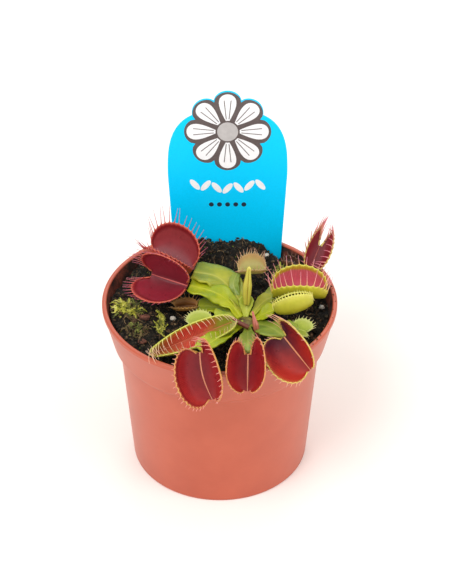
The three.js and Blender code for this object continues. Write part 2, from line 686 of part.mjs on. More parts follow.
// Moss: low cushions of short pointed shoots
const MOSS = [
  { name: "moss_left", centre: [-33.2, -2.5], size: [4.8, 5], shoots: 34, seed: 21 },
  { name: "moss_left_front", centre: [-30, -14.5], size: [4.8, 4], shoots: 22, seed: 22 },
  { name: "moss_left_strand", centre: [-21, -9.5], size: [1.6, 6.5], shoots: 18, seed: 23 },
  { name: "moss_back_right", centre: [22.5, 19.5], size: [3, 3], shoots: 14, seed: 24 },
];
const MOSS_HEIGHT = 1.4;
const MOSS_SHOOT_LENGTH = 2.6;
const MOSS_SHOOT_RADIUS = 0.45;
const GOLDEN_ANGLE = 2.39996;

function pebble(centre, size, turn) {
  const geometry = new THREE.IcosahedronGeometry(1, 0);
  geometry.rotateX(turn);
  geometry.rotateZ(2 * turn);
  geometry.scale(...size);
  geometry.translate(...centre);
  return solidFromGeometry(geometry);
}

function buildMoss(moss, ground) {
  const random = randomFrom(moss.seed);
  const [x, y] = moss.centre;
  const [width, depth] = moss.size;
  const cushion = pebble([x, y, soilHeight(x, y)], [width, depth, MOSS_HEIGHT], 0.4);
  const shoots = [];
  for (let k = 0; k < moss.shoots; k++) {
    const share = Math.sqrt((k + 0.5) / moss.shoots);
    const angle = k * GOLDEN_ANGLE;
    const [dx, dy] = [share * Math.cos(angle), share * Math.sin(angle)];
    const [rx, ry] = [x + 0.8 * width * dx, y + 0.8 * depth * dy];
    const direction = new THREE.Vector3(dx + random() - 0.5, dy + random() - 0.5, 1).normalize();
    const root = new THREE.Vector3(rx, ry, soilHeight(rx, ry) + GAP);
    const length = MOSS_SHOOT_LENGTH * (0.7 + 0.6 * random());
    shoots.push(spike(root, direction, length, MOSS_SHOOT_RADIUS));
  }
  return largest(join([cushion, ...shoots]).subtract(ground));
}

// Loose bits on the soil: bark chips and white grains of perlite
const BITS = [
  { name: "bark_chip_left", centre: [-27, -5.5], size: [2, 1.4, 1.2], colour: "bark" },
  { name: "bark_chip_front", centre: [-27.5, -19.5], size: [1.6, 1.1, 0.9], colour: "bark" },
  { name: "perlite_left", centre: [-16.8, -4.6], size: [1.1, 0.9, 0.9], colour: "perlite" },
  { name: "perlite_right", centre: [37.2, 2.5], size: [1, 1, 0.9], colour: "perlite" },
  { name: "perlite_back", centre: [17.5, 27.5], size: [0.8, 0.8, 0.8], colour: "perlite" },
];

function buildBit(bit, ground) {
  const [x, y] = bit.centre;
  const stone = pebble([x, y, soilHeight(x, y) + bit.size[2] * 0.5], bit.size, x);
  return largest(stone.subtract(ground));
}

const COLOURS = {
  pot: { color: 0xd4795c, roughness: 0.45 },
  soil: { color: 0x2a211c, roughness: 0.95 },
  tag: { color: 0x06b6ee, roughness: 0.35 },
  crown: { color: 0x8d9440, roughness: 0.6 },
  leaf: { color: 0x93a83c, roughness: 0.5 },
  trap: { color: 0x98212c, roughness: 0.45 },
  trapGreen: { color: 0xb3ab2d, roughness: 0.5 },
  trapPale: { color: 0xb5b867, roughness: 0.55 },
  withered: { color: 0x4a3026, roughness: 0.8 },
  bud: { color: 0xc8bb4a, roughness: 0.5 },
  budRed: { color: 0xa3524a, roughness: 0.5 },
  moss: { color: 0x8f9a35, roughness: 0.9 },
  bark: { color: 0x6d4433, roughness: 0.9 },
  perlite: { color: 0xd8d3c6, roughness: 0.9 },
};

const plant = new THREE.Group();

function addPiece(name, solid, finish) {
  const mesh = new THREE.Mesh(geometryFrom(solid), new THREE.MeshStandardMaterial(COLOURS[finish]));
  mesh.name = name;
  plant.add(mesh);
}

const soil = buildSoil().subtract(buildCrown(GAP)).subtract(buildTagSlot());
const ground = soil.translate([0, 0, GAP]);

addPiece("pot", buildPot(), "pot");
addPiece("soil", soil, "soil");
addPiece("tag", buildTag(), "tag");
addPiece("crown", buildCrown(), "crown");

for (const trap of TRAPS) {
  addPiece(trap.name, largest(buildTrap(trap).subtract(ground)), trap.colour ?? "trap");
}

// Each leaf is trimmed clear of the crown, the traps and the leaves already in place
const placed = [buildCrown(GAP), ground, ...TRAPS.map((trap) => buildTrap(trap, GAP))];

function addTrimmed(name, solid, widened, finish) {
  addPiece(name, largest(wasm.Manifold.difference([solid, ...placed])), finish);
  placed.push(widened);
}

for (const leaf of LEAVES) addTrimmed(leaf.name, buildLeaf(leaf), buildLeaf(leaf, GAP), "leaf");
for (const bud of BUDS) addTrimmed(bud.name, buildBud(bud), buildBud(bud, GAP), bud.colour ?? "bud");
for (const moss of MOSS) addPiece(moss.name, buildMoss(moss, ground), "moss");
for (const bit of BITS) addPiece(bit.name, buildBit(bit, ground), bit.colour);

export default plant;
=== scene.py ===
import random
from math import atan2, copysign, cos, hypot, pi, radians, sin, sqrt

import bmesh
import bpy
from mathutils import Matrix, Vector, noise


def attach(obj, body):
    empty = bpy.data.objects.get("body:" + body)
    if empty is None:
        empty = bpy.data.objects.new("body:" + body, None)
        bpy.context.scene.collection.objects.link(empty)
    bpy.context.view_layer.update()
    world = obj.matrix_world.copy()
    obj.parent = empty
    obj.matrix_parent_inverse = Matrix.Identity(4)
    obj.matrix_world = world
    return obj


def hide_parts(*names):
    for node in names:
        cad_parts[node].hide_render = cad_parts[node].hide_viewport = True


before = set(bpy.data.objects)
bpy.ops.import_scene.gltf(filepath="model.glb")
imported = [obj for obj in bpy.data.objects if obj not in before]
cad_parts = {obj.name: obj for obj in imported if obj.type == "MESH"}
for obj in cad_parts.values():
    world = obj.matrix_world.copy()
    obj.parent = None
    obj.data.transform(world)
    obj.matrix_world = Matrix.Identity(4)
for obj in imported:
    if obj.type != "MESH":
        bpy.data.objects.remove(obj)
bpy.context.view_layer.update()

MM = 0.001
UP = Vector((0, 0, 1))
GOLDEN_ANGLE = 2.39996
CURVE_SAMPLES = 16


def smoothstep(x, low, high):
    t = min(max((x - low) / (high - low), 0), 1)
    return t * t * (3 - 2 * t)


def lerp(a, b, t):
    return a + (b - a) * t


def polar(radius, angle):
    return radius * cos(angle), radius * sin(angle)


def turns(count, shift=0):
    """The angles of evenly spaced places round a full circle."""
    return [2 * pi * (k + shift) / count for k in range(count)]


# Meshes


class Builder:
    """Collects vertices, faces, material numbers and UVs for one mesh."""

    def __init__(self):
        self.vertices = []
        self.faces = []
        self.indices = []
        self.uvs = []

    def add(self, vertices, faces, material=0, uvs=None):
        """Adds faces that have one material number, or a list with a number for each."""
        start = len(self.vertices)
        self.vertices += vertices
        self.faces += [tuple(start + k for k in face) for face in faces]
        self.indices += material if isinstance(material, list) else [material] * len(faces)
        self.uvs += uvs or [(0.0, 0.0)] * len(vertices)

    def tube(self, points, radii, sides, material=0):
        """Adds a closed tube through the points. The second UV runs from 0 to 1 along it."""
        last = len(points) - 1
        vertices = []
        uvs = []
        for i, p in enumerate(points):
            along = (points[min(i + 1, last)] - points[max(i - 1, 0)]).normalized()
            reference = Vector((1, 0, 0)) if abs(along.z) > 0.8 else UP
            side = reference.cross(along).normalized()
            other = along.cross(side)
            for k, angle in enumerate(turns(sides)):
                vertices.append(p + radii[i] * (cos(angle) * side + sin(angle) * other))
                uvs.append((k / sides, i / last))
        faces = [tuple(reversed(range(sides)))]
        for i in range(last):
            for k in range(sides):
                n = (k + 1) % sides
                faces.append((i * sides + k, i * sides + n, (i + 1) * sides + n, (i + 1) * sides + k))
        faces.append(tuple(last * sides + k for k in range(sides)))
        self.add(vertices, faces, material, uvs)

    def sheet(self, grid, facing, thickness, thinning, bunching=1, materials=(0, 1, 2)):
        """Adds a closed sheet over a grid of points, which gets thinner from its middle column to its sides.

        Its front looks to the side of facing. The materials are those of its front, its back and its edge.
        The second UV runs from 0 at the middle column to 1 at the sides.
        """
        rows = len(grid)
        columns = len(grid[0])
        middle = (columns - 1) / 2
        normals, flip = grid_normals(grid, facing)
        vertices = []
        uvs = []
        for side in (0.5, -0.5):
            for i in range(rows):
                for j in range(columns):
                    v = abs(j - middle) / middle
                    depth = side * thickness * (1 - thinning * v * v)
                    vertices.append(grid[i][j] + normals[i * columns + j] * depth)
                    uvs.append((i / (rows - 1), v**bunching))

        def at(side, i, j):
            return (side * rows + i) * columns + j

        def facet(corners, reverse):
            return tuple(reversed(corners) if reverse else corners)

        faces = []
        numbers = []
        for i in range(rows - 1):
            for j in range(columns - 1):
                for side in (0, 1):
                    corners = [at(side, i, j), at(side, i + 1, j), at(side, i + 1, j + 1), at(side, i, j + 1)]
                    faces.append(facet(corners, (side == 0) == flip))
                    numbers.append(materials[side])
        border = [(0, j) for j in range(columns - 1)]
        border += [(i, columns - 1) for i in range(rows - 1)]
        border += [(rows - 1, j) for j in range(columns - 1, 0, -1)]
        border += [(i, 0) for i in range(rows - 1, 0, -1)]
        for (i, j), (i2, j2) in zip(border, border[1:] + border[:1]):
            faces.append(facet([at(0, i, j), at(0, i2, j2), at(1, i2, j2), at(1, i, j)], flip))
            numbers.append(materials[2])
        self.add(vertices, faces, numbers, uvs)

    def finish(self, name, materials, smooth=True):
        """The mesh object in the frame."""
        mesh = bpy.data.meshes.new(name)
        mesh.from_pydata([tuple(v * MM) for v in self.vertices], [], self.faces)
        for material in materials:
            mesh.materials.append(material)
        mesh.polygons.foreach_set("material_index", self.indices)
        layer = mesh.uv_layers.new(name="UVMap")
        for loop in mesh.loops:
            layer.data[loop.index].uv = self.uvs[loop.vertex_index]
        mesh.polygons.foreach_set("use_smooth", [smooth] * len(mesh.polygons))
        mesh.update()
        piece = bpy.data.objects.new(name, mesh)
        bpy.context.scene.collection.objects.link(piece)
        return piece

    def dress(self, name, slot, materials, smooth=True):
        """Finishes the piece that stands for the solid of this name."""
        place(self.finish(name + "_fine", materials, smooth), slot, name)


def place(piece, slot, *nodes):
    """The piece moves with the body and stands for the named solids."""
    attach(piece, "root")
    if nodes:
        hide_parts(*nodes)


def grid_normals(grid, facing):
    """Normals of a grid of points, row by row, and whether they had to be turned to the side of facing."""
    last_row = len(grid) - 1
    last_column = len(grid[0]) - 1
    normals = []
    for i in range(last_row + 1):
        for j in range(last_column + 1):
            along = grid[min(i + 1, last_row)][j] - grid[max(i - 1, 0)][j]
            across = grid[i][min(j + 1, last_column)] - grid[i][max(j - 1, 0)]
            normals.append(along.cross(across).normalized())
    sample = len(grid) // 2 * len(grid[0]) + len(grid[0]) // 4
    if normals[sample].dot(facing) < 0:
        return [-n for n in normals], True
    return normals, False


def curve_points(path, steps):
    """Points spaced along a smooth curve through the path, each with its direction."""
    ends = [path[0] * 2 - path[1], *path, path[-1] * 2 - path[-2]]
    dense = []
    for a, b, c, d in zip(ends, ends[1:], ends[2:], ends[3:]):
        for k in range(CURVE_SAMPLES):
            t = k / CURVE_SAMPLES
            square = (2 * a - 5 * b + 4 * c - d) * t * t
            dense.append(0.5 * (2 * b + (c - a) * t + square + (3 * b - a - 3 * c + d) * t**3))
    dense.append(path[-1])
    spans = [0.0]
    for p, q in zip(dense, dense[1:]):
        spans.append(spans[-1] + (q - p).length)
    points = []
    k = 0
    for step in range(steps + 1):
        goal = spans[-1] * step / steps
        while k < len(spans) - 2 and spans[k + 1] < goal:
            k += 1
        t = (goal - spans[k]) / (spans[k + 1] - spans[k])
        points.append((dense[k].lerp(dense[k + 1], t), (dense[k + 1] - dense[k]).normalized()))
    return points


def icosphere(subdivisions):
    """Corners and faces of a ball with a radius of 1."""
    mesh = bmesh.new()
    bmesh.ops.create_icosphere(mesh, subdivisions=subdivisions, radius=1)
    corners = [v.co.copy() for v in mesh.verts]
    faces = [tuple(v.index for v in f.verts) for f in mesh.faces]
    mesh.free()
    return corners, faces


# Materials


def srgb(red, green, blue):
    """The linear colour of display values from 0 to 255."""
    channels = []
    for value in (red, green, blue):
        c = value / 255
        channels.append(c / 12.92 if c <= 0.04045 else ((c + 0.055) / 1.055) ** 2.4)
    return (*channels, 1.0)


class Shader:
    """A material with helpers that add and link its nodes."""

    def __init__(self, name, **sockets):
        self.material = bpy.data.materials.new(name)
        self.material.use_nodes = True
        self.tree = self.material.node_tree
        self.surface = self.tree.nodes["Principled BSDF"]
        for socket, value in sockets.items():
            self.surface.inputs[socket.replace("_", " ")].default_value = value

    def node(self, kind, **values):
        node = self.tree.nodes.new(kind)
        for key, value in values.items():
            if hasattr(node, key):
                setattr(node, key, value)
            else:
                node.inputs[key.replace("_", " ")].default_value = value
        return node

    def link(self, source, target):
        self.tree.links.new(source, target)

    def axis(self, kind, name):
        """One axis of the coordinates of a kind."""
        split = self.node("ShaderNodeSeparateXYZ")
        self.link(self.node("ShaderNodeTexCoord").outputs[kind], split.inputs["Vector"])
        return split.outputs[name]

    def scaled(self, kind, scale):
        mapping = self.node("ShaderNodeMapping", Scale=scale)
        self.link(self.node("ShaderNodeTexCoord").outputs[kind], mapping.inputs["Vector"])
        return mapping.outputs["Vector"]

    def noise(self, scale, detail=4, roughness=0.55):
        texture = self.node("ShaderNodeTexNoise", Scale=scale, Detail=detail, Roughness=roughness)
        self.link(self.scaled("Object", (1, 1, 1)), texture.inputs["Vector"])
        return texture.outputs["Fac"]

    def lines(self, direction, scale, distortion, detail, stretch):
        """Wavy lines over the UVs."""
        wave = self.node(
            "ShaderNodeTexWave", bands_direction=direction, Scale=scale, Distortion=distortion, Detail=detail
        )
        self.link(self.scaled("UV", stretch), wave.inputs["Vector"])
        return wave.outputs["Fac"]

    def graded(self, factor, stops):
        """A colour ramp with (place, linear colour) stops."""
        node = self.node("ShaderNodeValToRGB")
        elements = node.color_ramp.elements
        while len(elements) < len(stops):
            elements.new(0.5)
        for element, (position, color) in zip(elements, stops):
            element.position = position
            element.color = color
        self.link(factor, node.inputs["Fac"])
        return node.outputs["Color"]

    def ramp(self, factor, *stops):
        """Colours. Each stop is its place, red, green and blue."""
        return self.graded(factor, [(position, srgb(*color)) for position, *color in stops])

    def mask(self, factor, *stops):
        """Greys or tints. Each stop is its place and one level, or three, from 0 to 1."""
        return self.graded(factor, [(position, (*(levels * 3)[:3], 1)) for position, *levels in stops])

    def mix(self, factor, a, b, blend="MIX"):
        node = self.node("ShaderNodeMix", data_type="RGBA", blend_type=blend)
        for socket, value in (("Factor", factor), ("A", a), ("B", b)):
            target = [s for s in node.inputs if s.name == socket and s.enabled][0]
            if isinstance(value, bpy.types.NodeSocket):
                self.link(value, target)
            else:
                target.default_value = value
        return [s for s in node.outputs if s.enabled][0]

    def multiply(self, a, b):
        return self.mix(1.0, a, b, "MULTIPLY")

    def shifted(self, value, noise, amount):
        """The value moved up and down by a noise of 0 to 1."""
        node = self.node("ShaderNodeMath", operation="MULTIPLY_ADD")
        self.link(noise, node.inputs[0])
        node.inputs[1].default_value = amount
        self.link(value, node.inputs[2])
        centred = self.node("ShaderNodeMath", operation="SUBTRACT")
        self.link(node.outputs[0], centred.inputs[0])
        centred.inputs[1].default_value = amount / 2
        return centred.outputs[0]

    def color(self, source):
        self.link(source, self.surface.inputs["Base Color"])

    def bump(self, height, strength, distance):
        node = self.node("ShaderNodeBump", Strength=strength, Distance=distance)
        self.link(height, node.inputs["Height"])
        self.link(node.outputs["Normal"], self.surface.inputs["Normal"])


# Kinds of plain material. places is where its colours stand on their ramp, grain the scale, detail and
# roughness of the noise that mixes them, and relief the scale and detail of the bumps' noise and then
# their strength and depth in metres.
KINDS = {
    "plastic": dict(
        places=(0.3, 0.7), grain=(60, 6), relief=(900, 3, 0.08, 0.0002),
        surface=dict(Roughness=0.38, Specular_IOR_Level=0.5),
    ),
    "peat": dict(
        places=(0.33, 0.55, 0.78), grain=(700, 8, 0.7), relief=(1800, 6, 0.8, 0.0006),
        surface=dict(Roughness=0.8, Specular_IOR_Level=0.22),
    ),
    "moss": dict(
        places=(0.3, 0.5, 0.7), grain=(450, 5), relief=(3000, 4, 0.3, 0.0002),
        surface=dict(Roughness=0.6, Subsurface_Weight=0.1, Subsurface_Radius=(0.001, 0.0015, 0.0005)),
    ),
    "bit": dict(
        places=(0.35, 0.7), grain=(900, 6), relief=(2200, 6, 0.7, 0.0003), surface=dict(Roughness=0.85)
    ),
    "print": dict(
        places=(0.35, 0.65), grain=(500, 3), relief=(1500, 4, 0.02, 0.0001), surface=dict(Roughness=0.4)
    ),
    "crown": dict(
        places=(0.35, 0.65), grain=(300, 5), relief=(900, 4, 0.3, 0.0003), surface=dict(Roughness=0.5)
    ),
    "floor": dict(places=(0.3, 0.7), grain=(3, 2), surface=dict(Roughness=0.9)),
}
PLAIN = {
    "pot_plastic": ("plastic", (180, 81, 54), (190, 90, 62)),
    "peat_black": ("peat", (8, 7, 7), (36, 32, 26), (124, 106, 82)),
    "peat_brown": ("peat", (34, 24, 18), (84, 62, 44), (162, 130, 96)),
    "peat_fibre": ("peat", (88, 68, 46), (136, 110, 78), (184, 158, 118)),
    "moss_speck": ("peat", (66, 74, 26), (106, 116, 40), (150, 158, 70)),
    "moss_bright": ("moss", (122, 124, 24), (190, 188, 58), (226, 220, 124)),
    "moss_olive": ("moss", (58, 62, 20), (104, 110, 38), (150, 154, 70)),
    "moss_brown": ("moss", (62, 46, 26), (96, 76, 42), (136, 116, 68)),
    "bark_brown": ("bit", (70, 38, 28), (140, 86, 66)),
    "perlite_white": ("bit", (190, 180, 166), (232, 226, 214)),
    "print_line": ("print", (84, 72, 72), (92, 80, 80)),
    "print_white": ("print", (232, 232, 236), (240, 240, 242)),
    "print_grey": ("print", (176, 172, 172), (186, 182, 182)),
    "print_dark": ("print", (20, 36, 60), (24, 40, 66)),
    "crown_base": ("crown", (70, 44, 34), (140, 130, 60)),
    "floor_white": ("floor", (252, 246, 240), (255, 251, 247)),
}


def plain_material(name):
    kind, *colors = PLAIN[name]
    look = KINDS[kind]
    s = Shader(name, **look["surface"])
    stops = [(position, *color) for position, color in zip(look["places"], colors)]
    s.color(s.ramp(s.noise(*look["grain"]), *stops))
    if "relief" in look:
        scale, detail, strength, depth = look["relief"]
        s.bump(s.noise(scale, detail), strength, depth)
    return s.material


def shaded_dusty_wall_material():
    """The pot's inner wall: its plastic painted darker than outside as painted shade, with patches of dark
    brown that are partly peat sticking to it and partly painted shade.
    """
    s = Shader("pot_dust_and_shade", Roughness=0.6)
    # The inner wall's plastic, darker than the pot's outside: painted shade.
    shaded_plastic = s.ramp(s.noise(60, 6), (0.3, 150, 70, 50), (0.7, 168, 80, 58))
    # Dark patches, partly peat stuck to the wall and partly painted shade.
    dust_and_shade = s.ramp(s.noise(700, 8, 0.7), (0.3, 26, 18, 15), (0.75, 74, 46, 34))
    patches = s.mask(s.noise(130, 7, 0.7), (0.36, 0.15), (0.56, 1))
    s.color(s.mix(patches, shaded_plastic, dust_and_shade))
    s.bump(s.noise(1500, 6), 0.4, 0.0004)
    return s.material


def tag_material():
    """Blue plastic, a little uneven and with faint flecks."""
    s = Shader("label_blue", Roughness=0.35, Specular_IOR_Level=0.15)
    height = s.node("ShaderNodeMapRange")
    height.inputs["From Min"].default_value = TAG_NECK_Z * MM
    height.inputs["From Max"].default_value = TAG_TOP_Z * MM
    s.link(s.axis("Object", "Z"), height.inputs["Value"])
    blue = s.ramp(height.outputs["Result"], (0, 0, 202, 255), (0.5, 0, 200, 253), (1, 0, 206, 255))
    s.color(s.multiply(blue, s.mask(s.noise(1500, 2), (0.4, 0.96), (0.6, 1))))
    s.bump(s.noise(700, 2), 0.03, 0.0002)
    return s.material


def leaf_material(name, deep, fresh, pale):
    """A waxy blade: deep and fresh green in patches between fine veins, and pale at the midrib."""
    s = Shader(name, Roughness=0.36, Subsurface_Weight=0.12, Subsurface_Radius=(0.002, 0.003, 0.001))
    body = s.ramp(s.noise(170, 5), (0.3, *deep), (0.65, *fresh))
    body = s.multiply(body, s.mask(s.noise(85, 3), (0.4, 0.86, 0.95, 0.9), (0.56, 1)))
    rib = s.mask(s.axis("UV", "Y"), (0, 1), (0.1, 0.25), (0.3, 0))
    body = s.mix(rib, body, srgb(*pale))
    veins = s.lines("Y", 7, 1.5, 2, (0.6, 1, 1))
    s.color(s.multiply(body, s.mask(veins, (0, 0.86, 0.88, 0.8), (0.25, 1))))
    s.bump(veins, 0.25, 0.0002)
    return s.material


def lobe_material(name, stops, ends=(), stripe=0.2, roughness=0.4):
    """The surface of a lobe: colours from midrib (0) to edge (1), with fine lines that run outwards.

    Each of the ends has colours of its own, which come in between two places along the midrib.
    """
    s = Shader(
        name, Roughness=roughness, Subsurface_Weight=0.08, Specular_IOR_Level=0.32,
        Subsurface_Radius=(0.002, 0.0008, 0.0005),
    )
    blotches = s.noise(260, 4)
    outward = s.shifted(s.axis("UV", "Y"), blotches, 0.08)
    along = s.shifted(s.axis("UV", "X"), blotches, 0.3)
    body = s.ramp(outward, *stops)
    for start, full, colors in ends:
        share = s.mask(along, *sorted([(start, 0), (full, 1)]))
        body = s.mix(share, body, s.ramp(outward, *colors))
    lines = s.lines("X", 19, 1.1, 2, (1, 0.06, 1))
    body = s.multiply(body, s.mask(lines, (0.2, 1 - stripe), (0.8, 1)))
    s.color(s.multiply(body, s.mask(s.noise(420, 5), (0.3, 0.84), (0.7, 1))))
    s.bump(lines, 0.2, 0.00015)
    return s.material


def tooth_material(name, root, tip):
    s = Shader(name, Roughness=0.4, Subsurface_Weight=0.1)
    s.color(s.ramp(s.axis("UV", "Y"), (0, *root), (0.7, *tip)))
    s.bump(s.noise(2500), 0.1, 0.0001)
    return s.material


def bud_material(name, groove, low, high):
    """A rolled leaf: a colour from foot to tip, with dark grooves along it."""
    s = Shader(name, Roughness=0.4, Subsurface_Weight=0.1)
    body = s.ramp(s.axis("UV", "Y"), (0.1, *low), (0.8, *high))
    grooves = s.mask(s.lines("X", 1.2, 0.6, 1, (1, 0.1, 1)), (0.05, 1), (0.25, 0))
    s.color(s.mix(grooves, body, srgb(*groove)))
    s.bump(s.noise(600), 0.15, 0.0002)
    return s.material


# Pot, as in the solids
POT_HEIGHT = 68.8
RIM_RADIUS = 42.5
LIP_WIDTH = 1.7
LIP_HEIGHT = 1.8
LIP_ROUNDING = 0.55
COLLAR_TOP_RADIUS = 42.1
COLLAR_BOTTOM_Z = 53.5
COLLAR_BOTTOM_RADIUS = 39
STEP_BOTTOM_Z = 51
STEP_BOTTOM_RADIUS = 36.6
BASE_RADIUS = 32.7
BASE_ROUNDING = 0.8
WALL = 1.3
FOOT_WIDTH = 3.4
HUB_RADIUS = 12
FOOT_HEIGHT = 1.4
FLOOR_THICKNESS = 1.6
POT_SIDES = 160
DRAIN_COUNT = 6
DRAIN_RADIUS = 3
DRAIN_CIRCLE_RADIUS = 21
SHARP_ANGLE = radians(40)


def turned(name, profile, sides, materials, choose):
    """A body turned round the Z axis from (radius, z) pairs that form a closed loop.

    choose(a, b) gives the material number of the band between two pairs.
    """
    count = len(profile)
    vertices = [Vector((*polar(r, angle), z)) for angle in turns(sides) for r, z in profile]
    faces = []
    numbers = []
    for k in range(sides):
        n = (k + 1) % sides
        for i in range(count):
            m = (i + 1) % count
            faces.append((k * count + i, n * count + i, n * count + m, k * count + m))
            numbers.append(choose(profile[i], profile[m]))
    builder = Builder()
    builder.add(vertices, faces, numbers)
    piece = builder.finish(name, materials)
    mesh = bmesh.new()
    mesh.from_mesh(piece.data)
    bmesh.ops.remove_doubles(mesh, verts=mesh.verts, dist=1e-6)
    bmesh.ops.recalc_face_normals(mesh, faces=mesh.faces)
    mesh.to_mesh(piece.data)
    mesh.free()
    return piece


def arc(r, z, radius, start, end, steps):
    """Points of an arc in the profile plane, with angles in degrees from +r towards +z."""
    angles = [radians(lerp(start, end, k / steps)) for k in range(steps + 1)]
    return [(r + radius * cos(angle), z + radius * sin(angle)) for angle in angles]


def pot_profile():
    inner = RIM_RADIUS - LIP_WIDTH
    lip_bottom = POT_HEIGHT - LIP_HEIGHT
    lip_middle = POT_HEIGHT - LIP_ROUNDING
    return [
        (BASE_RADIUS - FOOT_WIDTH, 0),
        *arc(BASE_RADIUS - BASE_ROUNDING, BASE_ROUNDING, BASE_ROUNDING, -90, 0, 4),
        (STEP_BOTTOM_RADIUS - 0.06, STEP_BOTTOM_Z - 0.8),
        (STEP_BOTTOM_RADIUS + 0.15, STEP_BOTTOM_Z),
        (COLLAR_BOTTOM_RADIUS - 0.5, COLLAR_BOTTOM_Z - 0.6),
        (COLLAR_BOTTOM_RADIUS - 0.1, COLLAR_BOTTOM_Z),
        (COLLAR_BOTTOM_RADIUS + 0.1, COLLAR_BOTTOM_Z + 0.7),
        (COLLAR_TOP_RADIUS - 0.1, lip_bottom - 0.3),
        (COLLAR_TOP_RADIUS + 0.1, lip_bottom),
        *arc(RIM_RADIUS - 0.25, lip_bottom + 0.3, 0.25, -60, 0, 3),
        *arc(RIM_RADIUS - LIP_ROUNDING, lip_middle, LIP_ROUNDING, 0, 90, 6),
        *arc(inner + LIP_ROUNDING, lip_middle, LIP_ROUNDING, 90, 180, 6),
        (COLLAR_BOTTOM_RADIUS - WALL, COLLAR_BOTTOM_Z),
        (STEP_BOTTOM_RADIUS - WALL, STEP_BOTTOM_Z),
        (BASE_RADIUS - WALL, FOOT_HEIGHT + FLOOR_THICKNESS),
        (0, FOOT_HEIGHT + FLOOR_THICKNESS),
        (0, 0),
        (HUB_RADIUS, 0),
        (HUB_RADIUS, FOOT_HEIGHT),
        (BASE_RADIUS - FOOT_WIDTH, FOOT_HEIGHT),
    ]


def inside_wall(a, b):
    """1 for the bands of the pot's inner wall, which run downwards from the lip, otherwise 0."""
    inner = RIM_RADIUS - LIP_WIDTH + 0.01
    return int(a[1] > b[1] and a[0] <= inner and b[0] > HUB_RADIUS and b[1] > FOOT_HEIGHT)


def build_pot():
    materials = [plain_material("pot_plastic"), shaded_dusty_wall_material()]
    pot = turned("pot_fine", pot_profile(), POT_SIDES, materials, inside_wall)
    cutter = Builder()
    for angle in turns(DRAIN_COUNT, shift=0.5):
        x, y = polar(DRAIN_CIRCLE_RADIUS, angle)
        cutter.tube([Vector((x, y, -1)), Vector((x, y, 5))], [DRAIN_RADIUS] * 2, 32)
    holes = cutter.finish("drain_cutter", [])
    cut = pot.modifiers.new("drains", "BOOLEAN")
    cut.object = holes
    cut.operation = "DIFFERENCE"
    bpy.context.view_layer.objects.active = pot
    bpy.ops.object.modifier_apply(modifier="drains")
    bpy.data.objects.remove(holes)
    pot.data.polygons.foreach_set("use_smooth", [True] * len(pot.data.polygons))
    pot.data.set_sharp_from_angle(angle=SHARP_ANGLE)
    place(pot, "pot", "pot")


# Soil, as in the solids, with crumbs, fibres and specks. Sizes of crumbs are from mostly to at most.
SOIL_LEVEL = 63
SOIL_BANK = 8.8
SOIL_EDGE_DROP = 6.5
SOIL_LEFT_RISE = 2.2
SOIL_BUMP = 0.55
SOIL_RADIUS = 39.6
SOIL_DEPTH = 8
SOIL_RINGS = 70
SOIL_SIDES = 200
SOIL_SEED = 5
SOIL_MATERIALS = ("peat_black", "peat_brown", "peat_fibre", "moss_speck")
CRUMBS = dict(count=4200, low=0.22, high=0.8, materials=(0, 0, 1))
LUMPS = dict(count=650, low=0.5, high=1.5, materials=(0, 0, 0, 1))
SPECKS = dict(count=480, low=0.18, high=0.4, materials=(2, 3, 3))
FIBRES = 420
FIBRE_STEPS = 6
RIM_SPECKS = 34
RIM_SPECK_ANGLES = (-50, 40)
CRUMB_CORNERS, CRUMB_FACES = icosphere(1)


def soil_height(x, y):
    """The solids' soil surface."""
    bank = smoothstep(y, 12, 32) * (1 - 0.42 * smoothstep(x, 6, 24)) * SOIL_BANK
    drop = smoothstep(hypot(x, y), 34, 40) * smoothstep(y, 5, 30) * SOIL_EDGE_DROP
    rise = smoothstep(-x, 12, 36) * SOIL_LEFT_RISE
    bumps = sin(x * 0.31 + 1) * cos(y * 0.27) + sin(x * 0.17 - y * 0.41)
    return SOIL_LEVEL + bank - drop + rise + SOIL_BUMP * bumps


def on_peat(x, y, lift=0.0):
    """The point over (x, y) that is lift above the surface with its lumps."""
    lumps = noise.noise(Vector((x, y, 0)) * 0.4) * 1.1 + noise.noise(Vector((x, y, 5)) * 1.1) * 0.8
    return Vector((x, y, soil_height(x, y) + lumps + lift))


def crumb(builder, centre, size, draw, material):
    """One lump of peat: an uneven icosahedron."""
    turn = Matrix.Rotation(draw.uniform(0, 6.28), 3, "Z") @ Matrix.Rotation(draw.uniform(0, 3.14), 3, "X")
    squash = Vector((draw.uniform(0.6, 1.3), draw.uniform(0.5, 1), draw.uniform(0.5, 1)))
    corners = []
    for v in CRUMB_CORNERS:
        corners.append(centre + turn @ (v * squash) * size * draw.uniform(0.75, 1.25))
    builder.add(corners, CRUMB_FACES, material)


def fibre(builder, draw):
    """A thin root or fibre of peat that lies on the surface."""
    radius = (SOIL_RADIUS - 2.5) * sqrt(draw.random())
    x, y = polar(radius, draw.uniform(0, 2 * pi))
    heading = draw.uniform(0, 2 * pi)
    bend = draw.uniform(-0.5, 0.5)
    step = draw.uniform(0.25, 0.95)
    points = []
    for k in range(FIBRE_STEPS):
        if hypot(x, y) > SOIL_RADIUS - 1:
            break
        points.append(on_peat(x, y, draw.uniform(0.1, 0.6)))
        x += step * cos(heading)
        y += step * sin(heading)
        heading += bend
    if len(points) > 2:
        thick = draw.uniform(0.07, 0.15)
        radii = [thick] * (len(points) - 1) + [thick / 2]
        builder.tube(points, radii, 3, draw.choice((1, 2, 2)))


def scatter(builder, draw, count, low, high, materials):
    """Crumbs spread evenly over the soil, mostly near the low size."""
    for k in range(count):
        r = (SOIL_RADIUS - 0.9) * sqrt((k + 0.5) / count)
        x, y = polar(r, k * GOLDEN_ANGLE + draw.uniform(-0.05, 0.05))
        size = low + (high - low) * draw.random() ** 3
        crumb(builder, on_peat(x, y, size * 0.25), size, draw, draw.choice(materials))


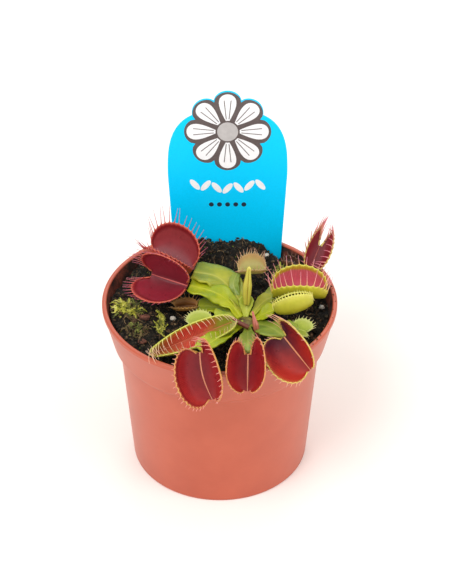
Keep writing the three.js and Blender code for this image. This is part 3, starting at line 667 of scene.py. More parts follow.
def rim_specks(builder, draw):
    """Specks of peat left on the pot's rim."""
    for k in range(RIM_SPECKS):
        angle = radians(draw.uniform(*RIM_SPECK_ANGLES))
        r = RIM_RADIUS - draw.uniform(0.5, LIP_WIDTH - 0.3)
        size = 0.1 + 0.28 * draw.random() ** 2
        centre = Vector((*polar(r, angle), POT_HEIGHT + size * 0.2))
        crumb(builder, centre, size, draw, draw.choice((0, 1)))


def soil_body(builder):
    """The uneven surface in rings round its middle, with a plain wall and bottom under it."""
    vertices = [on_peat(0, 0)]
    for i in range(1, SOIL_RINGS + 1):
        vertices += [on_peat(*polar(SOIL_RADIUS * i / SOIL_RINGS, angle)) for angle in turns(SOIL_SIDES)]
    bottom = SOIL_LEVEL - SOIL_DEPTH
    vertices += [Vector((*polar(SOIL_RADIUS - 2, angle), bottom)) for angle in turns(SOIL_SIDES)]

    def at(ring, k):
        return 1 + (ring - 1) * SOIL_SIDES + k % SOIL_SIDES

    faces = [(0, at(1, k), at(1, k + 1)) for k in range(SOIL_SIDES)]
    for i in range(1, SOIL_RINGS + 1):
        for k in range(SOIL_SIDES):
            faces.append((at(i, k), at(i + 1, k), at(i + 1, k + 1), at(i, k + 1)))
    faces.append(tuple(at(SOIL_RINGS + 1, k) for k in reversed(range(SOIL_SIDES))))
    builder.add(vertices, faces)


def build_soil():
    draw = random.Random(SOIL_SEED)
    builder = Builder()
    soil_body(builder)
    for kind in (CRUMBS, LUMPS, SPECKS):
        scatter(builder, draw, **kind)
    for k in range(FIBRES):
        fibre(builder, draw)
    rim_specks(builder, draw)
    builder.dress("soil", "soil", [plain_material(name) for name in SOIL_MATERIALS], smooth=False)


# Traps

# Colours of a trap. inside and outside run from the midrib (0) to the edge (1). ends are other insides:
# where along the midrib each of them starts and is full, and its own stops. tooth goes from root to tip,
# and edge is the thin rim between the teeth.
STYLES = {
    "maroon": dict(
        inside=[
            (0, 112, 22, 36), (0.45, 142, 34, 50), (0.8, 158, 44, 60),
            (0.9, 128, 22, 32), (0.975, 170, 48, 48), (1, 206, 84, 66),
        ],
        outside=[(0, 156, 134, 50), (0.6, 170, 96, 50), (1, 190, 70, 60)],
        tooth=((206, 80, 66), (190, 76, 108)),
        edge=(204, 92, 70),
        rib=(206, 92, 86),
    ),
    "crimson": dict(
        inside=[
            (0, 116, 22, 32), (0.5, 148, 28, 36), (0.84, 166, 36, 38),
            (0.93, 124, 18, 24), (0.985, 176, 62, 44), (1, 214, 170, 76),
        ],
        ends=[(0.4, 0.8, [
            (0, 140, 24, 30), (0.5, 164, 34, 36), (0.84, 178, 44, 38),
            (0.93, 150, 26, 28), (0.985, 196, 84, 50), (1, 214, 180, 84),
        ])],
        outside=[(0, 176, 156, 50), (0.7, 190, 140, 54), (1, 216, 170, 80)],
        tooth=((214, 128, 84), (228, 142, 128)),
        edge=(212, 142, 78),
        rib=(224, 148, 112),
    ),
    # Dark purple inside near the base end: painted shade and sheen over the lobes' red, which the end brings
    # in from there to the tip.
    "red_with_painted_shade": dict(
        inside=[
            (0, 96, 24, 38), (0.5, 88, 22, 40), (0.9, 80, 22, 40),
            (0.985, 140, 60, 50), (1, 206, 176, 84),
        ],
        ends=[(0.22, 0.6, [
            (0, 144, 28, 28), (0.4, 180, 44, 36), (0.85, 196, 54, 42),
            (0.985, 200, 96, 54), (1, 214, 186, 90),
        ])],
        outside=[(0, 176, 156, 50), (0.7, 190, 140, 54), (1, 216, 180, 84)],
        tooth=((222, 194, 96), (230, 160, 140)),
        edge=(216, 190, 90),
        rib=(228, 156, 112),
    ),
    "rosy": dict(
        inside=[
            (0, 176, 54, 70), (0.5, 204, 82, 96), (0.84, 214, 100, 108),
            (0.9, 196, 150, 50), (1, 206, 192, 60),
        ],
        outside=[(0, 150, 144, 22), (0.6, 164, 158, 24), (1, 204, 194, 56)],
        tooth=((224, 190, 90), (236, 140, 156)),
        edge=(210, 196, 66),
        rib=(200, 90, 80),
    ),
    "blush": dict(
        inside=[
            (0, 110, 22, 34), (0.8, 134, 28, 42), (0.94, 160, 44, 56), (1, 206, 170, 84),
        ],
        outside=[(0, 150, 150, 60), (0.6, 184, 182, 76), (1, 220, 214, 110)],
        tooth=((222, 160, 120), (222, 112, 134)),
        edge=(206, 178, 96),
        rib=(150, 60, 50),
    ),
    "orange": dict(
        inside=[
            (0, 238, 122, 98), (0.4, 228, 86, 74), (0.68, 232, 108, 76),
            (0.8, 214, 186, 70), (1, 214, 212, 90),
        ],
        ends=[
            (0.36, 0.2, [(0, 186, 172, 72), (0.5, 176, 188, 66), (1, 208, 214, 98)]),
            # This end darkens the inside towards the tip: painted shade over the trap's closed tip.
            (0.55, 0.9, [
                (0, 170, 66, 46), (0.4, 176, 120, 56), (0.7, 182, 180, 66), (1, 212, 210, 98),
            ]),
        ],
        outside=[(0, 166, 170, 44), (0.7, 180, 184, 58), (1, 206, 200, 92)],
        tooth=((214, 210, 100), (234, 190, 160)),
        edge=(206, 206, 84),
        rib=(226, 120, 84),
    ),
    "green": dict(
        inside=[(0, 150, 150, 30), (0.8, 186, 178, 44), (1, 220, 212, 84)],
        outside=[
            (0, 164, 154, 26), (0.5, 184, 176, 40), (0.85, 198, 194, 62), (1, 226, 220, 104),
        ],
        tooth=((228, 222, 104), (226, 216, 116)),
        edge=(226, 220, 96),
        rib=(196, 180, 44),
    ),
    "pale": dict(
        inside=[(0, 160, 158, 78), (0.6, 182, 166, 96), (1, 198, 152, 98)],
        outside=[(0, 166, 166, 80), (0.6, 180, 168, 96), (1, 198, 160, 104)],
        tooth=((206, 176, 122), (190, 134, 104)),
        edge=(200, 170, 110),
        rib=(186, 180, 100),
    ),
    "fresh": dict(
        inside=[(0, 166, 184, 66), (0.8, 188, 200, 86), (1, 214, 220, 130)],
        outside=[(0, 170, 190, 76), (0.7, 194, 204, 98), (1, 214, 218, 134)],
        tooth=((210, 216, 124), (220, 206, 150)),
        edge=(210, 218, 124),
        rib=(190, 200, 90),
    ),
    "golden": dict(
        inside=[(0, 104, 62, 30), (0.6, 146, 92, 40), (1, 176, 122, 56)],
        outside=[(0, 120, 74, 34), (0.7, 160, 106, 48), (1, 184, 134, 66)],
        tooth=((176, 126, 62), (190, 140, 90)),
        edge=(176, 126, 60),
        rib=(130, 84, 40),
    ),
    "withered": dict(
        inside=[(0, 50, 30, 26), (1, 84, 52, 40)],
        outside=[(0, 64, 38, 30), (0.7, 88, 56, 38), (1, 112, 74, 50)],
        tooth=((112, 74, 50), (130, 86, 66)),
        edge=(104, 66, 46),
        rib=(76, 46, 36),
    ),
}
# A copy of maroon, lighter and pinker from the midrib to near the edge: a painted sheen over the middle of
# the lobes.
STYLES["maroon_with_painted_sheen"] = STYLES["maroon"] | dict(
    inside=[
        (0, 126, 42, 52), (0.45, 158, 60, 66), (0.8, 170, 66, 70),
        (0.9, 134, 26, 34), (0.975, 170, 48, 48), (1, 206, 84, 66),
    ],
    rib=(196, 80, 76),
)
# The traps, with the same midribs and lobes as the solids. Where a value is a pair, it has one entry for
# each lobe. reaches is how far the lobe goes out from the midrib, dips how far its rounding goes past the
# base and the tip, and tapers how pointed its tip is. cup is how deep the lobes are, bow how far the
# midrib bends. teeth is the count on each lobe, tooth their length at the base end and at the tip end,
# and lean how far they turn inward, which tip_lean changes towards the tip end. spread is their disorder
# and scallop how far the edge swells at a tooth.
TRAPS = [
    dict(
        name="trap_back_left", style="maroon_with_painted_sheen", slot="trap_red",
        base=(-10.5, 9.5, 74), tip=(-25, 17.5, 76),
        reaches=((5, 2.5, 14.5), (2, -8.5, 8)), dips=((0.55, 0.55), (0.55, 0.55)), cup=0.2,
        teeth=20, tooth=((4.5, 8), (3, 6)), lean=(0.15, 0.15),
    ),
    dict(
        name="trap_front_left", style="maroon", slot="trap_red",
        base=(-11.5, 1, 74), tip=(-24.5, 8, 74),
        reaches=((-2, -4.5, 14), (-5, -13.5, -0.5)), dips=((0.6, 0.75), (0.25, 0.9)), cup=0.16,
        teeth=20, tooth=((2.5, 8), (1.2, 5.5)), lean=(0.5, 0.4),
    ),
    dict(
        name="trap_right_open", style="rosy", slot="trap_red",
        base=(19.6, 1, 69.6), tip=(37.8, 1, 69.4),
        reaches=((0, 4.5, 10.4), (0, -6.5, 9.2)), dips=((0.4, 0.4), (0.4, 0.4)), cup=0.2,
        teeth=15, tooth=((5.5, 3), (6.5, 6)), lean=(0.3, 0.9),
    ),
    dict(
        name="trap_right_closed", style="green", slot="trap_green",
        base=(20.1, -8.8, 70.6), tip=(33, -6.8, 73.2),
        reaches=((0.5, -3.8, 7.5), (0.5, -2.3, 7.4)), dips=((0.45, 0.3), (0.45, 0.3)),
        cup=0.36, bow=(0, -0.4, -2),
        teeth=22, tooth=((1.8, 1.8), (1.8, 1.8)), lean=(1.25, 1.25),
    ),
    dict(
        name="trap_back_right", style="blush", slot="trap_red",
        base=(33.2, 17.5, 69), tip=(36.8, 22.8, 76),
        reaches=((-3.6, -1, 3.4), (4.6, -3.4, 0.8)), dips=((0.15, 1.35), (0.15, 1.35)),
        tapers=(1.6, 1.6), cup=0.16,
        teeth=17, tooth=((2, 9), (4.5, 6)), lean=(0.5, 2.3), tip_lean=(0.5, 0.5), tooth_radius=0.28,
    ),
    dict(
        name="trap_back_pale", style="pale", slot="trap_green",
        base=(7, 7.6, 75.3), tip=(16.4, 7.9, 75.5),
        reaches=((0, 4.2, 4.9), (0, -3.8, 3.3)), dips=((0.3, 0.3), (0.3, 0.3)), cup=0.15,
        teeth=19, tooth=((2.2, 2.8), (2, 2.6)), lean=(0.2, 0.3), spread=0.55, scallop=0.7,
    ),
    dict(
        name="trap_left_side", style="orange", slot="trap_red",
        base=(4.3, -16.2, 70.8), tip=(-23.4, -29.1, 66.8),
        reaches=((-1.4, -3.7, 8.7), (0.4, -12, 5)), dips=((0.12, 0.3), (0.12, 0.3)),
        tapers=(2, 2), cup=0.15,
        teeth=26, tooth=((2, 8.5), (2, 6)), lean=(1.1, 0.9),
    ),
    dict(
        name="trap_front_hanging_left", style="crimson", slot="trap_red",
        base=(-6.5, -42, 78), tip=(-2.3, -47.3, 61.6),
        reaches=((-11, -4, 3.5), (5, -8.5, 6.5)), dips=((0.76, 0.47), (1.06, 0.15)),
        tapers=(1, 1.5), cup=0.2, bow=(-1.1, 0, 0),
        teeth=21, tooth=((2, 1.5), (6, 1.2)), lean=(0.3, 0.9), scallop=0.75, tooth_radius=0.26,
    ),
    dict(
        name="trap_front_hanging_middle", style="crimson", slot="trap_red",
        base=(9.9, -40.5, 76), tip=(9.7, -45.8, 64),
        reaches=((-7.5, -7, 5), (5.8, -7.5, 5.5)), dips=((1.15, 0.2), (1.25, 0.1)),
        tapers=(1.4, 1.4), cup=0.18,
        teeth=18, tooth=((4, 1.2), (4, 1.2)), lean=(0.5, 0.7),
    ),
    dict(
        name="trap_front_hanging_right", style="red_with_painted_shade", slot="trap_red",
        base=(22.5, -31, 76), tip=(31.6, -37.9, 66.9),
        reaches=((-7, -10.5, -3), (1.5, -4, 10)), dips=((0.8, 0.42), (1.1, 0.1)),
        tapers=(1, 1.5), cup=0.18,
        teeth=18, tooth=((2, 2.5), (8.5, 1.5)), lean=(0.2, 0.5),
    ),
    dict(
        name="trap_right_small", style="fresh", slot="trap_green",
        base=(25.5, -13.5, 66.3), tip=(30.8, -16, 66),
        reaches=((3, 3.5, 2), (-1, -4, 1)), dips=((0.2, 0.9), (0.2, 0.9)), cup=0.1,
        teeth=11, tooth=((1.1, 1.4), (1.1, 1.4)), lean=(0.1, 0.1),
    ),
    dict(
        name="trap_left_small", style="golden", slot="withered",
        base=(-8.5, -1.3, 66.3), tip=(-15.5, -1.3, 65.9),
        reaches=((0, 3, 2), (0, -3.2, 2)), dips=((0.45, 0.75), (0.45, 0.75)), cup=0.25,
        teeth=12, tooth=((1.8, 1.8), (1.8, 1.8)), lean=(0.3, 0.3),
    ),
    dict(
        name="trap_left_pale", style="fresh", slot="trap_green",
        base=(-2.8, -10.8, 67), tip=(-9.6, -13.2, 66.5),
        reaches=((0, 6, 2), (0, -5, 1)), dips=((0.45, 0.75), (0.45, 0.75)), cup=0.1,
        teeth=15, tooth=((0.8, 1.1), (0.8, 1.1)), lean=(0.1, 0.1),
    ),
    dict(
        name="trap_withered", style="withered", slot="withered",
        base=(28, 23.8, 64.9), tip=(23.6, 25.8, 65.5),
        reaches=((1, 2.5, 3), (-0.5, -2, 3.5)), dips=((0.5, 0.5), (0.5, 0.5)), cup=0.2,
        teeth=8, tooth=((1.5, 1.5), (1.5, 1.5)), lean=(0.5, 0.5),
    ),
]
TRAP_DEFAULTS = dict(bow=(0, 0, 0), tapers=(1, 1), scallop=0.45, spread=0.15, tooth_radius=0.19)
END_WIDTH = 0.14
LOBE_ROWS = 110
LOBE_COLUMNS = 14
LOBE_BUNCHING = 0.85
LOBE_RIM = 0.85
LOBE_THICKNESS = 0.9
LOBE_THINNING = 0.5
CUP_AT_ENDS = 0.3
TOOTH_MATERIAL = 3
TOOTH_ROOT_V = 0.97
TOOTH_AIM_V = 0.6
TOOTH_ROOT_DEPTH = 0.4
TOOTH_ROOT_RADIUS = 0.4
TOOTH_TIP_RADIUS = 0.05
TOOTH_FIRST = 0.04
TOOTH_SPAN = 0.92
TOOTH_LENGTHS = (0.8, 1.05)
TOOTH_BEND = (0.7, 1.3)
TOOTH_SIDES = 5
TOOTH_STEPS = 5
TRIGGER_HAIR_WIDTH = 9
TRIGGER_HAIR_PLACES = ((0.35, 0.5), (0.62, 0.45), (0.5, 0.68))
TRIGGER_HAIR_HEIGHTS = (0.2, 0.9, 1.6)
TRIGGER_HAIR_RADII = (0.1, 0.07, 0.03)
RIB_MATERIAL = 4
RIB_RADIUS = 0.32
RIB_LIFT = 0.378
RIB_STEPS = 8
RIB_SIDES = 8


def lobe_frame(trap, index):
    """One lobe's axes and sizes, and its share of the trap's values."""
    base = Vector(trap["base"])
    along = Vector(trap["tip"]) - base
    length = along.length
    along.normalize()

    def outward(reach):
        across = Vector(reach)
        return across - along * across.dot(along)

    across = outward(trap["reaches"][index])
    width = across.length
    across.normalize()
    inward = along.cross(across)
    if inward.dot(outward(trap["reaches"][1 - index])) < 0:
        inward = -inward
    return dict(
        base=base, along=along, across=across, inward=inward, length=length, width=width,
        cup=trap["cup"], bow=Vector(trap["bow"]), dips=trap["dips"][index], taper=trap["tapers"][index],
        tooth=trap["tooth"][index], lean=(trap["lean"][index], trap.get("tip_lean", trap["lean"])[index]),
    )


def lobe_point(lobe, u, v):
    """The point of a lobe at u along the midrib and v from midrib (0) to edge (1)."""
    base_dip, tip_dip = lobe["dips"]
    angle = lerp(pi + base_dip, -tip_dip, u)
    near_base = angle > pi / 2
    edge_x = lobe["length"] * (cos(base_dip) + cos(angle)) / (cos(base_dip) + cos(tip_dip))
    sine = sin(base_dip if near_base else tip_dip)
    centre = (sine + END_WIDTH) / (1 + sine)
    swing = sin(angle)
    rounded = swing if near_base else copysign(abs(swing) ** lobe["taper"], swing)
    edge_s = lobe["width"] * (centre + (1 - centre) * rounded)
    bulge = lobe["cup"] * lobe["width"] * sin(pi * v) * lerp(CUP_AT_ENDS, 1, sin(pi * u))
    return (
        lobe["base"]
        + lobe["along"] * lerp(lobe["length"] * u, edge_x, v)
        + lobe["across"] * edge_s * v
        - lobe["inward"] * bulge
        + lobe["bow"] * sin(pi * u) * (1 - v)
    )


def trap_blade(builder, trap, lobes):
    """Both lobes in one folded sheet: inside, outside and edge in their own materials.

    The edge swells out to a point at the root of every tooth.
    """
    grid = []
    for i in range(LOBE_ROWS + 1):
        u = i / LOBE_ROWS
        beat = cos(2 * pi * ((u - TOOTH_FIRST) / TOOTH_SPAN * trap["teeth"] - 0.5))
        toothed = TOOTH_FIRST < u < TOOTH_FIRST + TOOTH_SPAN
        swell = trap["scallop"] * (0.5 + 0.5 * beat) ** 2 if toothed else 0
        row = []
        for j in range(-LOBE_COLUMNS, LOBE_COLUMNS + 1):
            lobe = lobes[0 if j < 0 else 1]
            v = (abs(j) / LOBE_COLUMNS) ** LOBE_BUNCHING
            reach = (lobe_point(lobe, u, 1) - lobe_point(lobe, u, 0.9)).normalized()
            row.append(lobe_point(lobe, u, v) + reach * (swell * smoothstep(v, LOBE_RIM, 1)))
        grid.append(row)
    builder.sheet(grid, lobes[0]["inward"], LOBE_THICKNESS, LOBE_THINNING, LOBE_BUNCHING)


def trap_teeth(builder, trap, lobe, draw):
    """The row of bent teeth along a lobe's edge."""
    spread = trap["spread"]
    for k in range(trap["teeth"]):
        u = TOOTH_FIRST + TOOTH_SPAN * (k + 0.5) / trap["teeth"]
        outward = lobe_point(lobe, u, 1) - lobe_point(lobe, u, TOOTH_AIM_V)
        outward -= lobe["inward"] * outward.dot(lobe["inward"])
        outward.normalize()
        length = lerp(*lobe["tooth"], u) * draw.uniform(*TOOTH_LENGTHS) + TOOTH_ROOT_DEPTH
        lean = lerp(*lobe["lean"], u) + draw.uniform(-spread, spread)
        sway = lobe["along"] * draw.uniform(-spread, spread)
        points = [lobe_point(lobe, u, TOOTH_ROOT_V)]
        radii = [TOOTH_ROOT_RADIUS]
        for step in range(1, TOOTH_STEPS + 1):
            t = step / TOOTH_STEPS
            turn = lean * lerp(*TOOTH_BEND, t)
            direction = outward * cos(turn) + lobe["inward"] * sin(turn) + sway
            points.append(points[-1] + direction.normalized() * length / TOOTH_STEPS)
            radii.append(lerp(trap["tooth_radius"], TOOTH_TIP_RADIUS, t))
        builder.tube(points, radii, TOOTH_SIDES, TOOTH_MATERIAL)


def trap_rib(builder, lobes):
    """The raised midrib along the fold, thinner towards its ends."""
    lift = (lobes[0]["inward"] + lobes[1]["inward"]).normalized()
    points = []
    radii = []
    for step in range(RIB_STEPS + 1):
        t = step / RIB_STEPS
        points.append(lobe_point(lobes[0], t, 0) + lift * RIB_LIFT)
        radii.append(RIB_RADIUS * (0.55 + 0.45 * sin(pi * min(t + 0.15, 1))))
    builder.tube(points, radii, RIB_SIDES, RIB_MATERIAL)


def trigger_hairs(builder, lobe):
    """The three short hairs inside a lobe that set off the trap."""
    direction = (lobe["inward"] - lobe["across"] * 0.3).normalized()
    for u, v in TRIGGER_HAIR_PLACES:
        points = [lobe_point(lobe, u, v) + direction * height for height in TRIGGER_HAIR_HEIGHTS]
        builder.tube(points, TRIGGER_HAIR_RADII, 4)


def build_trap(trap, materials):
    draw = random.Random(trap["name"])
    builder = Builder()
    lobes = [lobe_frame(trap, 0), lobe_frame(trap, 1)]
    trap_blade(builder, trap, lobes)
    for lobe in lobes:
        trap_teeth(builder, trap, lobe, draw)
        if lobe["width"] > TRIGGER_HAIR_WIDTH:
            trigger_hairs(builder, lobe)
    trap_rib(builder, lobes)
    builder.dress(trap["name"], trap["slot"], materials)


def build_traps():
    made = {}
    for name, style in STYLES.items():
        made[name] = [
            lobe_material(f"trap_{name}_inside", style["inside"], style.get("ends", ())),
            lobe_material(f"trap_{name}_outside", style["outside"], stripe=0.06, roughness=0.45),
            tooth_material(f"trap_{name}_edge", style["edge"], style["edge"]),
            tooth_material(f"trap_{name}_tooth", *style["tooth"]),
            tooth_material(f"trap_{name}_rib", style["rib"], style["rib"]),
        ]
    for trap in TRAPS:
        build_trap(TRAP_DEFAULTS | trap, made[trap["style"]])


# Leaves, along the same paths as the solids. fold is how far the sides rise, wave how far they ripple.
LEAVES = [
    dict(
        name="leaf_young", green="fresh", width=5, fold=0.5, wave=0, seed=14,
        path=((9.5, -6.2, 66.6), (9.6, -4.6, 69), (9.7, -2.6, 72)),
    ),
    dict(
        name="leaf_back_left", green="olive", width=13.5, fold=0.15, wave=1.6, seed=1,
        path=((8.1, -4.1, 67), (5.9, 1, 69.6), (2.3, 4.5, 72), (-2, 7.2, 73.6), (-9.4, 9.1, 73.9)),
    ),
    dict(
        name="leaf_front_left", green="bright", width=11, fold=0.15, wave=1.5, seed=2,
        path=((6.8, -6.5, 66.5), (4.7, -4, 68.5), (0.9, -1.8, 71), (-4, -0.8, 73), (-10.8, 0.8, 74)),
    ),
    dict(
        name="leaf_left_small", green="bright", width=8.5, fold=0.2, wave=0.5, seed=3,
        path=((6, -7.5, 65.5), (2, -3.5, 66.3), (-2.5, -1.9, 66.5), (-7.8, -1.3, 66.2)),
    ),
    dict(
        name="leaf_left_pale", green="fresh", width=11.5, fold=0.2, wave=0.5, seed=4,
        path=((6, -9.5, 65), (3.5, -9.5, 66), (1, -10, 66.7), (-1.2, -10.5, 66.9)),
    ),
    dict(
        name="leaf_right", green="olive", width=5.5, fold=0.4, wave=0.3, seed=5,
        path=((12.2, -6.4, 67), (14.5, -3.2, 68), (17, -0.4, 68.5), (19, 0.8, 68.5)),
    ),
    dict(
        name="leaf_right_low", green="bright", width=8, fold=0.3, wave=0.4, seed=6,
        path=((12.9, -8.6, 66), (15, -8.6, 67.5), (17.5, -8.7, 69.1), (19.6, -8.8, 70.1)),
    ),
    dict(
        name="leaf_front_right", green="dull", width=14.5, fold=0.2, wave=0.6, seed=7,
        path=((12.8, -11.5, 66), (16, -15, 68), (19, -21.5, 71.5), (22, -30.3, 75.7)),
    ),
    dict(
        name="leaf_right_small", green="dull", width=6, fold=0.2, wave=0.4, seed=8,
        path=((13, -10.6, 64.6), (17, -12, 65.2), (21, -13, 65.8), (24.8, -13.4, 66.2)),
    ),
    dict(
        name="leaf_back_right", green="olive", width=5, fold=0.3, wave=0.4, seed=9,
        path=((11.7, -5.2, 66), (19, 8, 65.5), (27, 14, 67.5), (33, 17, 69.6)),
    ),
    dict(
        name="leaf_back_pale", green="dull", width=3.6, fold=0.3, wave=0.4, seed=10,
        path=((9.3, -5, 67), (6.2, 0.4, 69.2), (5.1, 4.2, 72.4), (6.5, 7.2, 74.9)),
    ),
    dict(
        name="leaf_left_side", green="fresh", width=5, fold=0.3, wave=0.3, seed=11,
        path=((6.9, -11, 66.5), (6.2, -13, 68.6), (4.9, -15.3, 70.2)),
    ),
    dict(
        name="leaf_front_hanging_left", green="bright", width=7.5, fold=0.35, wave=0.4, seed=12,
        path=((7.5, -12.3, 66), (3, -22, 70), (-1.5, -32, 75), (-6.2, -41.1, 78.2)),
    ),
    dict(
        name="leaf_front_hanging_middle", green="dull", width=6.5, fold=0.35, wave=0.4, seed=13,
        path=((10, -13, 66), (10, -23, 70), (9.9, -33, 74.5), (9.9, -39.6, 76.2)),
    ),
]
GREENS = {
    "olive": ((144, 148, 34), (180, 178, 48), (194, 188, 76)),
    "bright": ((148, 160, 14), (182, 188, 24), (198, 200, 56)),
    "fresh": ((166, 180, 54), (194, 200, 78), (208, 208, 108)),
    "dull": ((118, 138, 42), (148, 160, 54), (168, 174, 78)),
}
LEAF_WIDTHS = (0.3, 0.4, 0.5, 0.64, 0.8, 0.92, 1, 1, 0.7)
LEAF_ROWS = 36
LEAF_COLUMNS = 14
LEAF_THICKNESS = 0.8
LEAF_THINNING = 0.35
LEAF_FOOT_DEPTH = 1.2
LEAF_FOLD_POWER = 1.3
# The solids' seeded draw
SEED_STRIDE = 7919
DRAW_FACTOR = 1664525
DRAW_OFFSET = 1013904223
DRAW_RANGE = 2**32


def leaf_width(t):
    """The leaf's share of its full width at t from foot to end: a smooth curve through LEAF_WIDTHS."""
    last = len(LEAF_WIDTHS) - 1
    k = min(int(t * last), last - 1)
    s = t * last - k
    before, low = LEAF_WIDTHS[max(k - 1, 0)], LEAF_WIDTHS[k]
    high, after = LEAF_WIDTHS[k + 1], LEAF_WIDTHS[min(k + 2, last)]
    a, b = (high - before) / 2, (after - low) / 2
    rest = (1 - s) ** 2
    return low * (1 + 2 * s) * rest + a * s * rest + high * s * s * (3 - 2 * s) + b * s * s * (s - 1)


def build_leaf(leaf, material):
    """A folded blade with the solid's ripple, and a finer one along its edges."""
    draw = random.Random(leaf["seed"])
    phase = (leaf["seed"] * SEED_STRIDE * DRAW_FACTOR + DRAW_OFFSET) % DRAW_RANGE / DRAW_RANGE * 2 * pi
    fine_phase = draw.uniform(0, 6)
    path = [Vector(p) for p in leaf["path"]]
    path[0] = path[0] - (path[1] - path[0]).normalized() * LEAF_FOOT_DEPTH
    grid = []
    for i, (centre, along) in enumerate(curve_points(path, LEAF_ROWS)):
        t = i / LEAF_ROWS
        across = along.cross(UP).normalized()
        normal = across.cross(along)
        half = leaf_width(t) * leaf["width"] / 2
        row = []
        for j in range(LEAF_COLUMNS + 1):
            s = 2 * j / LEAF_COLUMNS - 1
            ripple = leaf["wave"] * s * s * sin(9 * t + phase + 2 * s)
            ripple += leaf["wave"] * 0.25 * s**4 * sin(24 * t + fine_phase + 3 * s)
            ripple *= max(sin(pi * t), 0) ** 0.6
            edge = 1 + 0.04 * sin(31 * t + fine_phase * 2 + s)
            rise = abs(s) ** LEAF_FOLD_POWER * half * leaf["fold"] + ripple
            row.append(centre + across * s * half * edge + normal * rise)
        grid.append(row)
    builder = Builder()
    builder.sheet(grid, UP, LEAF_THICKNESS, LEAF_THINNING, materials=(0, 0, 0))
    builder.dress(leaf["name"], "green", [material])


def build_leaves():
    made = {name: leaf_material(f"leaf_{name}", *colors) for name, colors in GREENS.items()}
    for leaf in LEAVES:
        build_leaf(leaf, made[leaf["green"]])


# Young rolled leaves and the crown. radii is at the foot, middle and tip, colors has grooves, foot and tip.
BUDS = [
    dict(
        name="trap_young", path=((9.7, -5.4, 70.5), (9.9, -4.6, 78), (10.5, -4.2, 86.5)),
        radii=(1.05, 1.65, 0.8), material="bud_pale", colors=((150, 128, 36), (200, 186, 76), (214, 200, 90)),
    ),
    dict(
        name="bud_red", path=((10.4, -16.6, 68.7), (7.4, -15.6, 69.8), (3.2, -13.4, 71.3)),
        radii=(0.9, 0.9, 0.4), material="bud_dark", colors=((84, 34, 34), (122, 66, 50), (132, 52, 52)),
    ),
    dict(
        name="bud_pink", path=((13.6, -20, 67.5), (12.8, -19.4, 71.8), (11.6, -16.9, 76.3)),
        radii=(0.9, 1.1, 0.4), material="bud_rose", colors=((160, 70, 66), (160, 96, 66), (206, 112, 100)),
    ),
]
BUD_STEPS = 24
BUD_TIP_RADIUS = 0.12
CROWN = (9.5, -9)
CROWN_RADIUS = 3.2
CROWN_TOP_Z = 66.5
CROWN_PROFILE = ((55, 0.7), (60, 0.9), (64, 1), (CROWN_TOP_Z - 0.5, 0.8), (CROWN_TOP_Z, 0.3))


def build_buds():
    for bud in BUDS:
        points = []
        radii = []
        for i, (p, _) in enumerate(curve_points([Vector(q) for q in bud["path"]], BUD_STEPS)):
            t = 2 * i / BUD_STEPS
            k = min(int(t), 1)
            points.append(p)
            radii.append(lerp(bud["radii"][k], bud["radii"][k + 1], sin((t - k) * pi / 2)))
        radii[-1] = BUD_TIP_RADIUS
        builder = Builder()
        builder.tube(points, radii, 16)
        builder.dress(bud["name"], "bud", [bud_material(bud["material"], *bud["colors"])])


def build_crown():
    builder = Builder()
    points = [Vector((*CROWN, z)) for z, share in CROWN_PROFILE]
    builder.tube(points, [CROWN_RADIUS * share for z, share in CROWN_PROFILE], 24)
    builder.dress("crown", "green", [plain_material("crown_base")])


# Label. Its outlines are (x, z) pairs, with x from its middle line and z as if it stood upright.
TAG_X = 2.9
TAG_Y = 31.8
TAG_THICKNESS = 0.8
TAG_LEAN = 0.1
TAG_TOP_Z = 125.2
TAG_SHOULDER_Z = 99.8
TAG_SHOULDER_POWER = 3
TAG_SHOULDER_STEPS = 48
TAG_HALF_WIDTH = 21.9
TAG_FOOT_HALF_WIDTH = 19.8
TAG_NECK_Z = 63
TAG_STAKE_HALF_WIDTH = 7
TAG_STAKE_Z = 48
TAG_POINT_Z = 20
# A flower with a garland of leaves and a row of dots under it. Sizes of leaves are half widths.
PRINT_LIFT = 0.04
PRINT_MATERIALS = ("print_line", "print_white", "print_grey", "print_dark")
LINE, WHITE, GREY, DARK = range(4)
FLOWER_Z = 117
FLOWER_RADIUS = 16
FLOWER_PETALS = 8
FLOWER_NOTCH = 0.2
FLOWER_HEAD_STEPS = 40
FLOWER_PRINT_SHARE = 0.985
FLOWER_PRINT_SIDES = 96
FLOWER_RING_RADIUS = 4.4
FLOWER_MIDDLE_RADIUS = 3.8
PETAL_REACH = 14.88
PETAL_WIDTH = 0.3
PETAL_SIDES = 32
VEIN_START = 5
VEIN_END = 12.5
VEIN_HALF_WIDTH = 0.14
VEIN_ANGLE = 0.1
ELLIPSE_SIDES = 28
GARLAND = dict(count=7, step=4, z=94.5, wave=0.8, beat=1.05, size=(1.1, 2.6), turn=0.7)
DOTS = dict(count=5, step=3, z=87, radius=0.9)


def tag_point(x, z, lift):
    """A point on the label, lift in front of its middle plane."""
    rise = z - TAG_NECK_Z
    y = TAG_Y + rise * sin(TAG_LEAN) - lift * cos(TAG_LEAN)
    return Vector((TAG_X + x, y, TAG_NECK_Z + rise * cos(TAG_LEAN) + lift * sin(TAG_LEAN)))


def flower_radius(angle, size=1.0):
    petal = abs(cos(FLOWER_PETALS / 2 * angle)) ** 0.6
    return FLOWER_RADIUS * size * (1 - FLOWER_NOTCH * (1 - petal))


def around_flower(r, angle, side=0.0):
    """The point r from the flower's middle, at an angle from its top and moved to the right of that line."""
    return (r * sin(angle) + side * cos(angle), FLOWER_Z + r * cos(angle) - side * sin(angle))


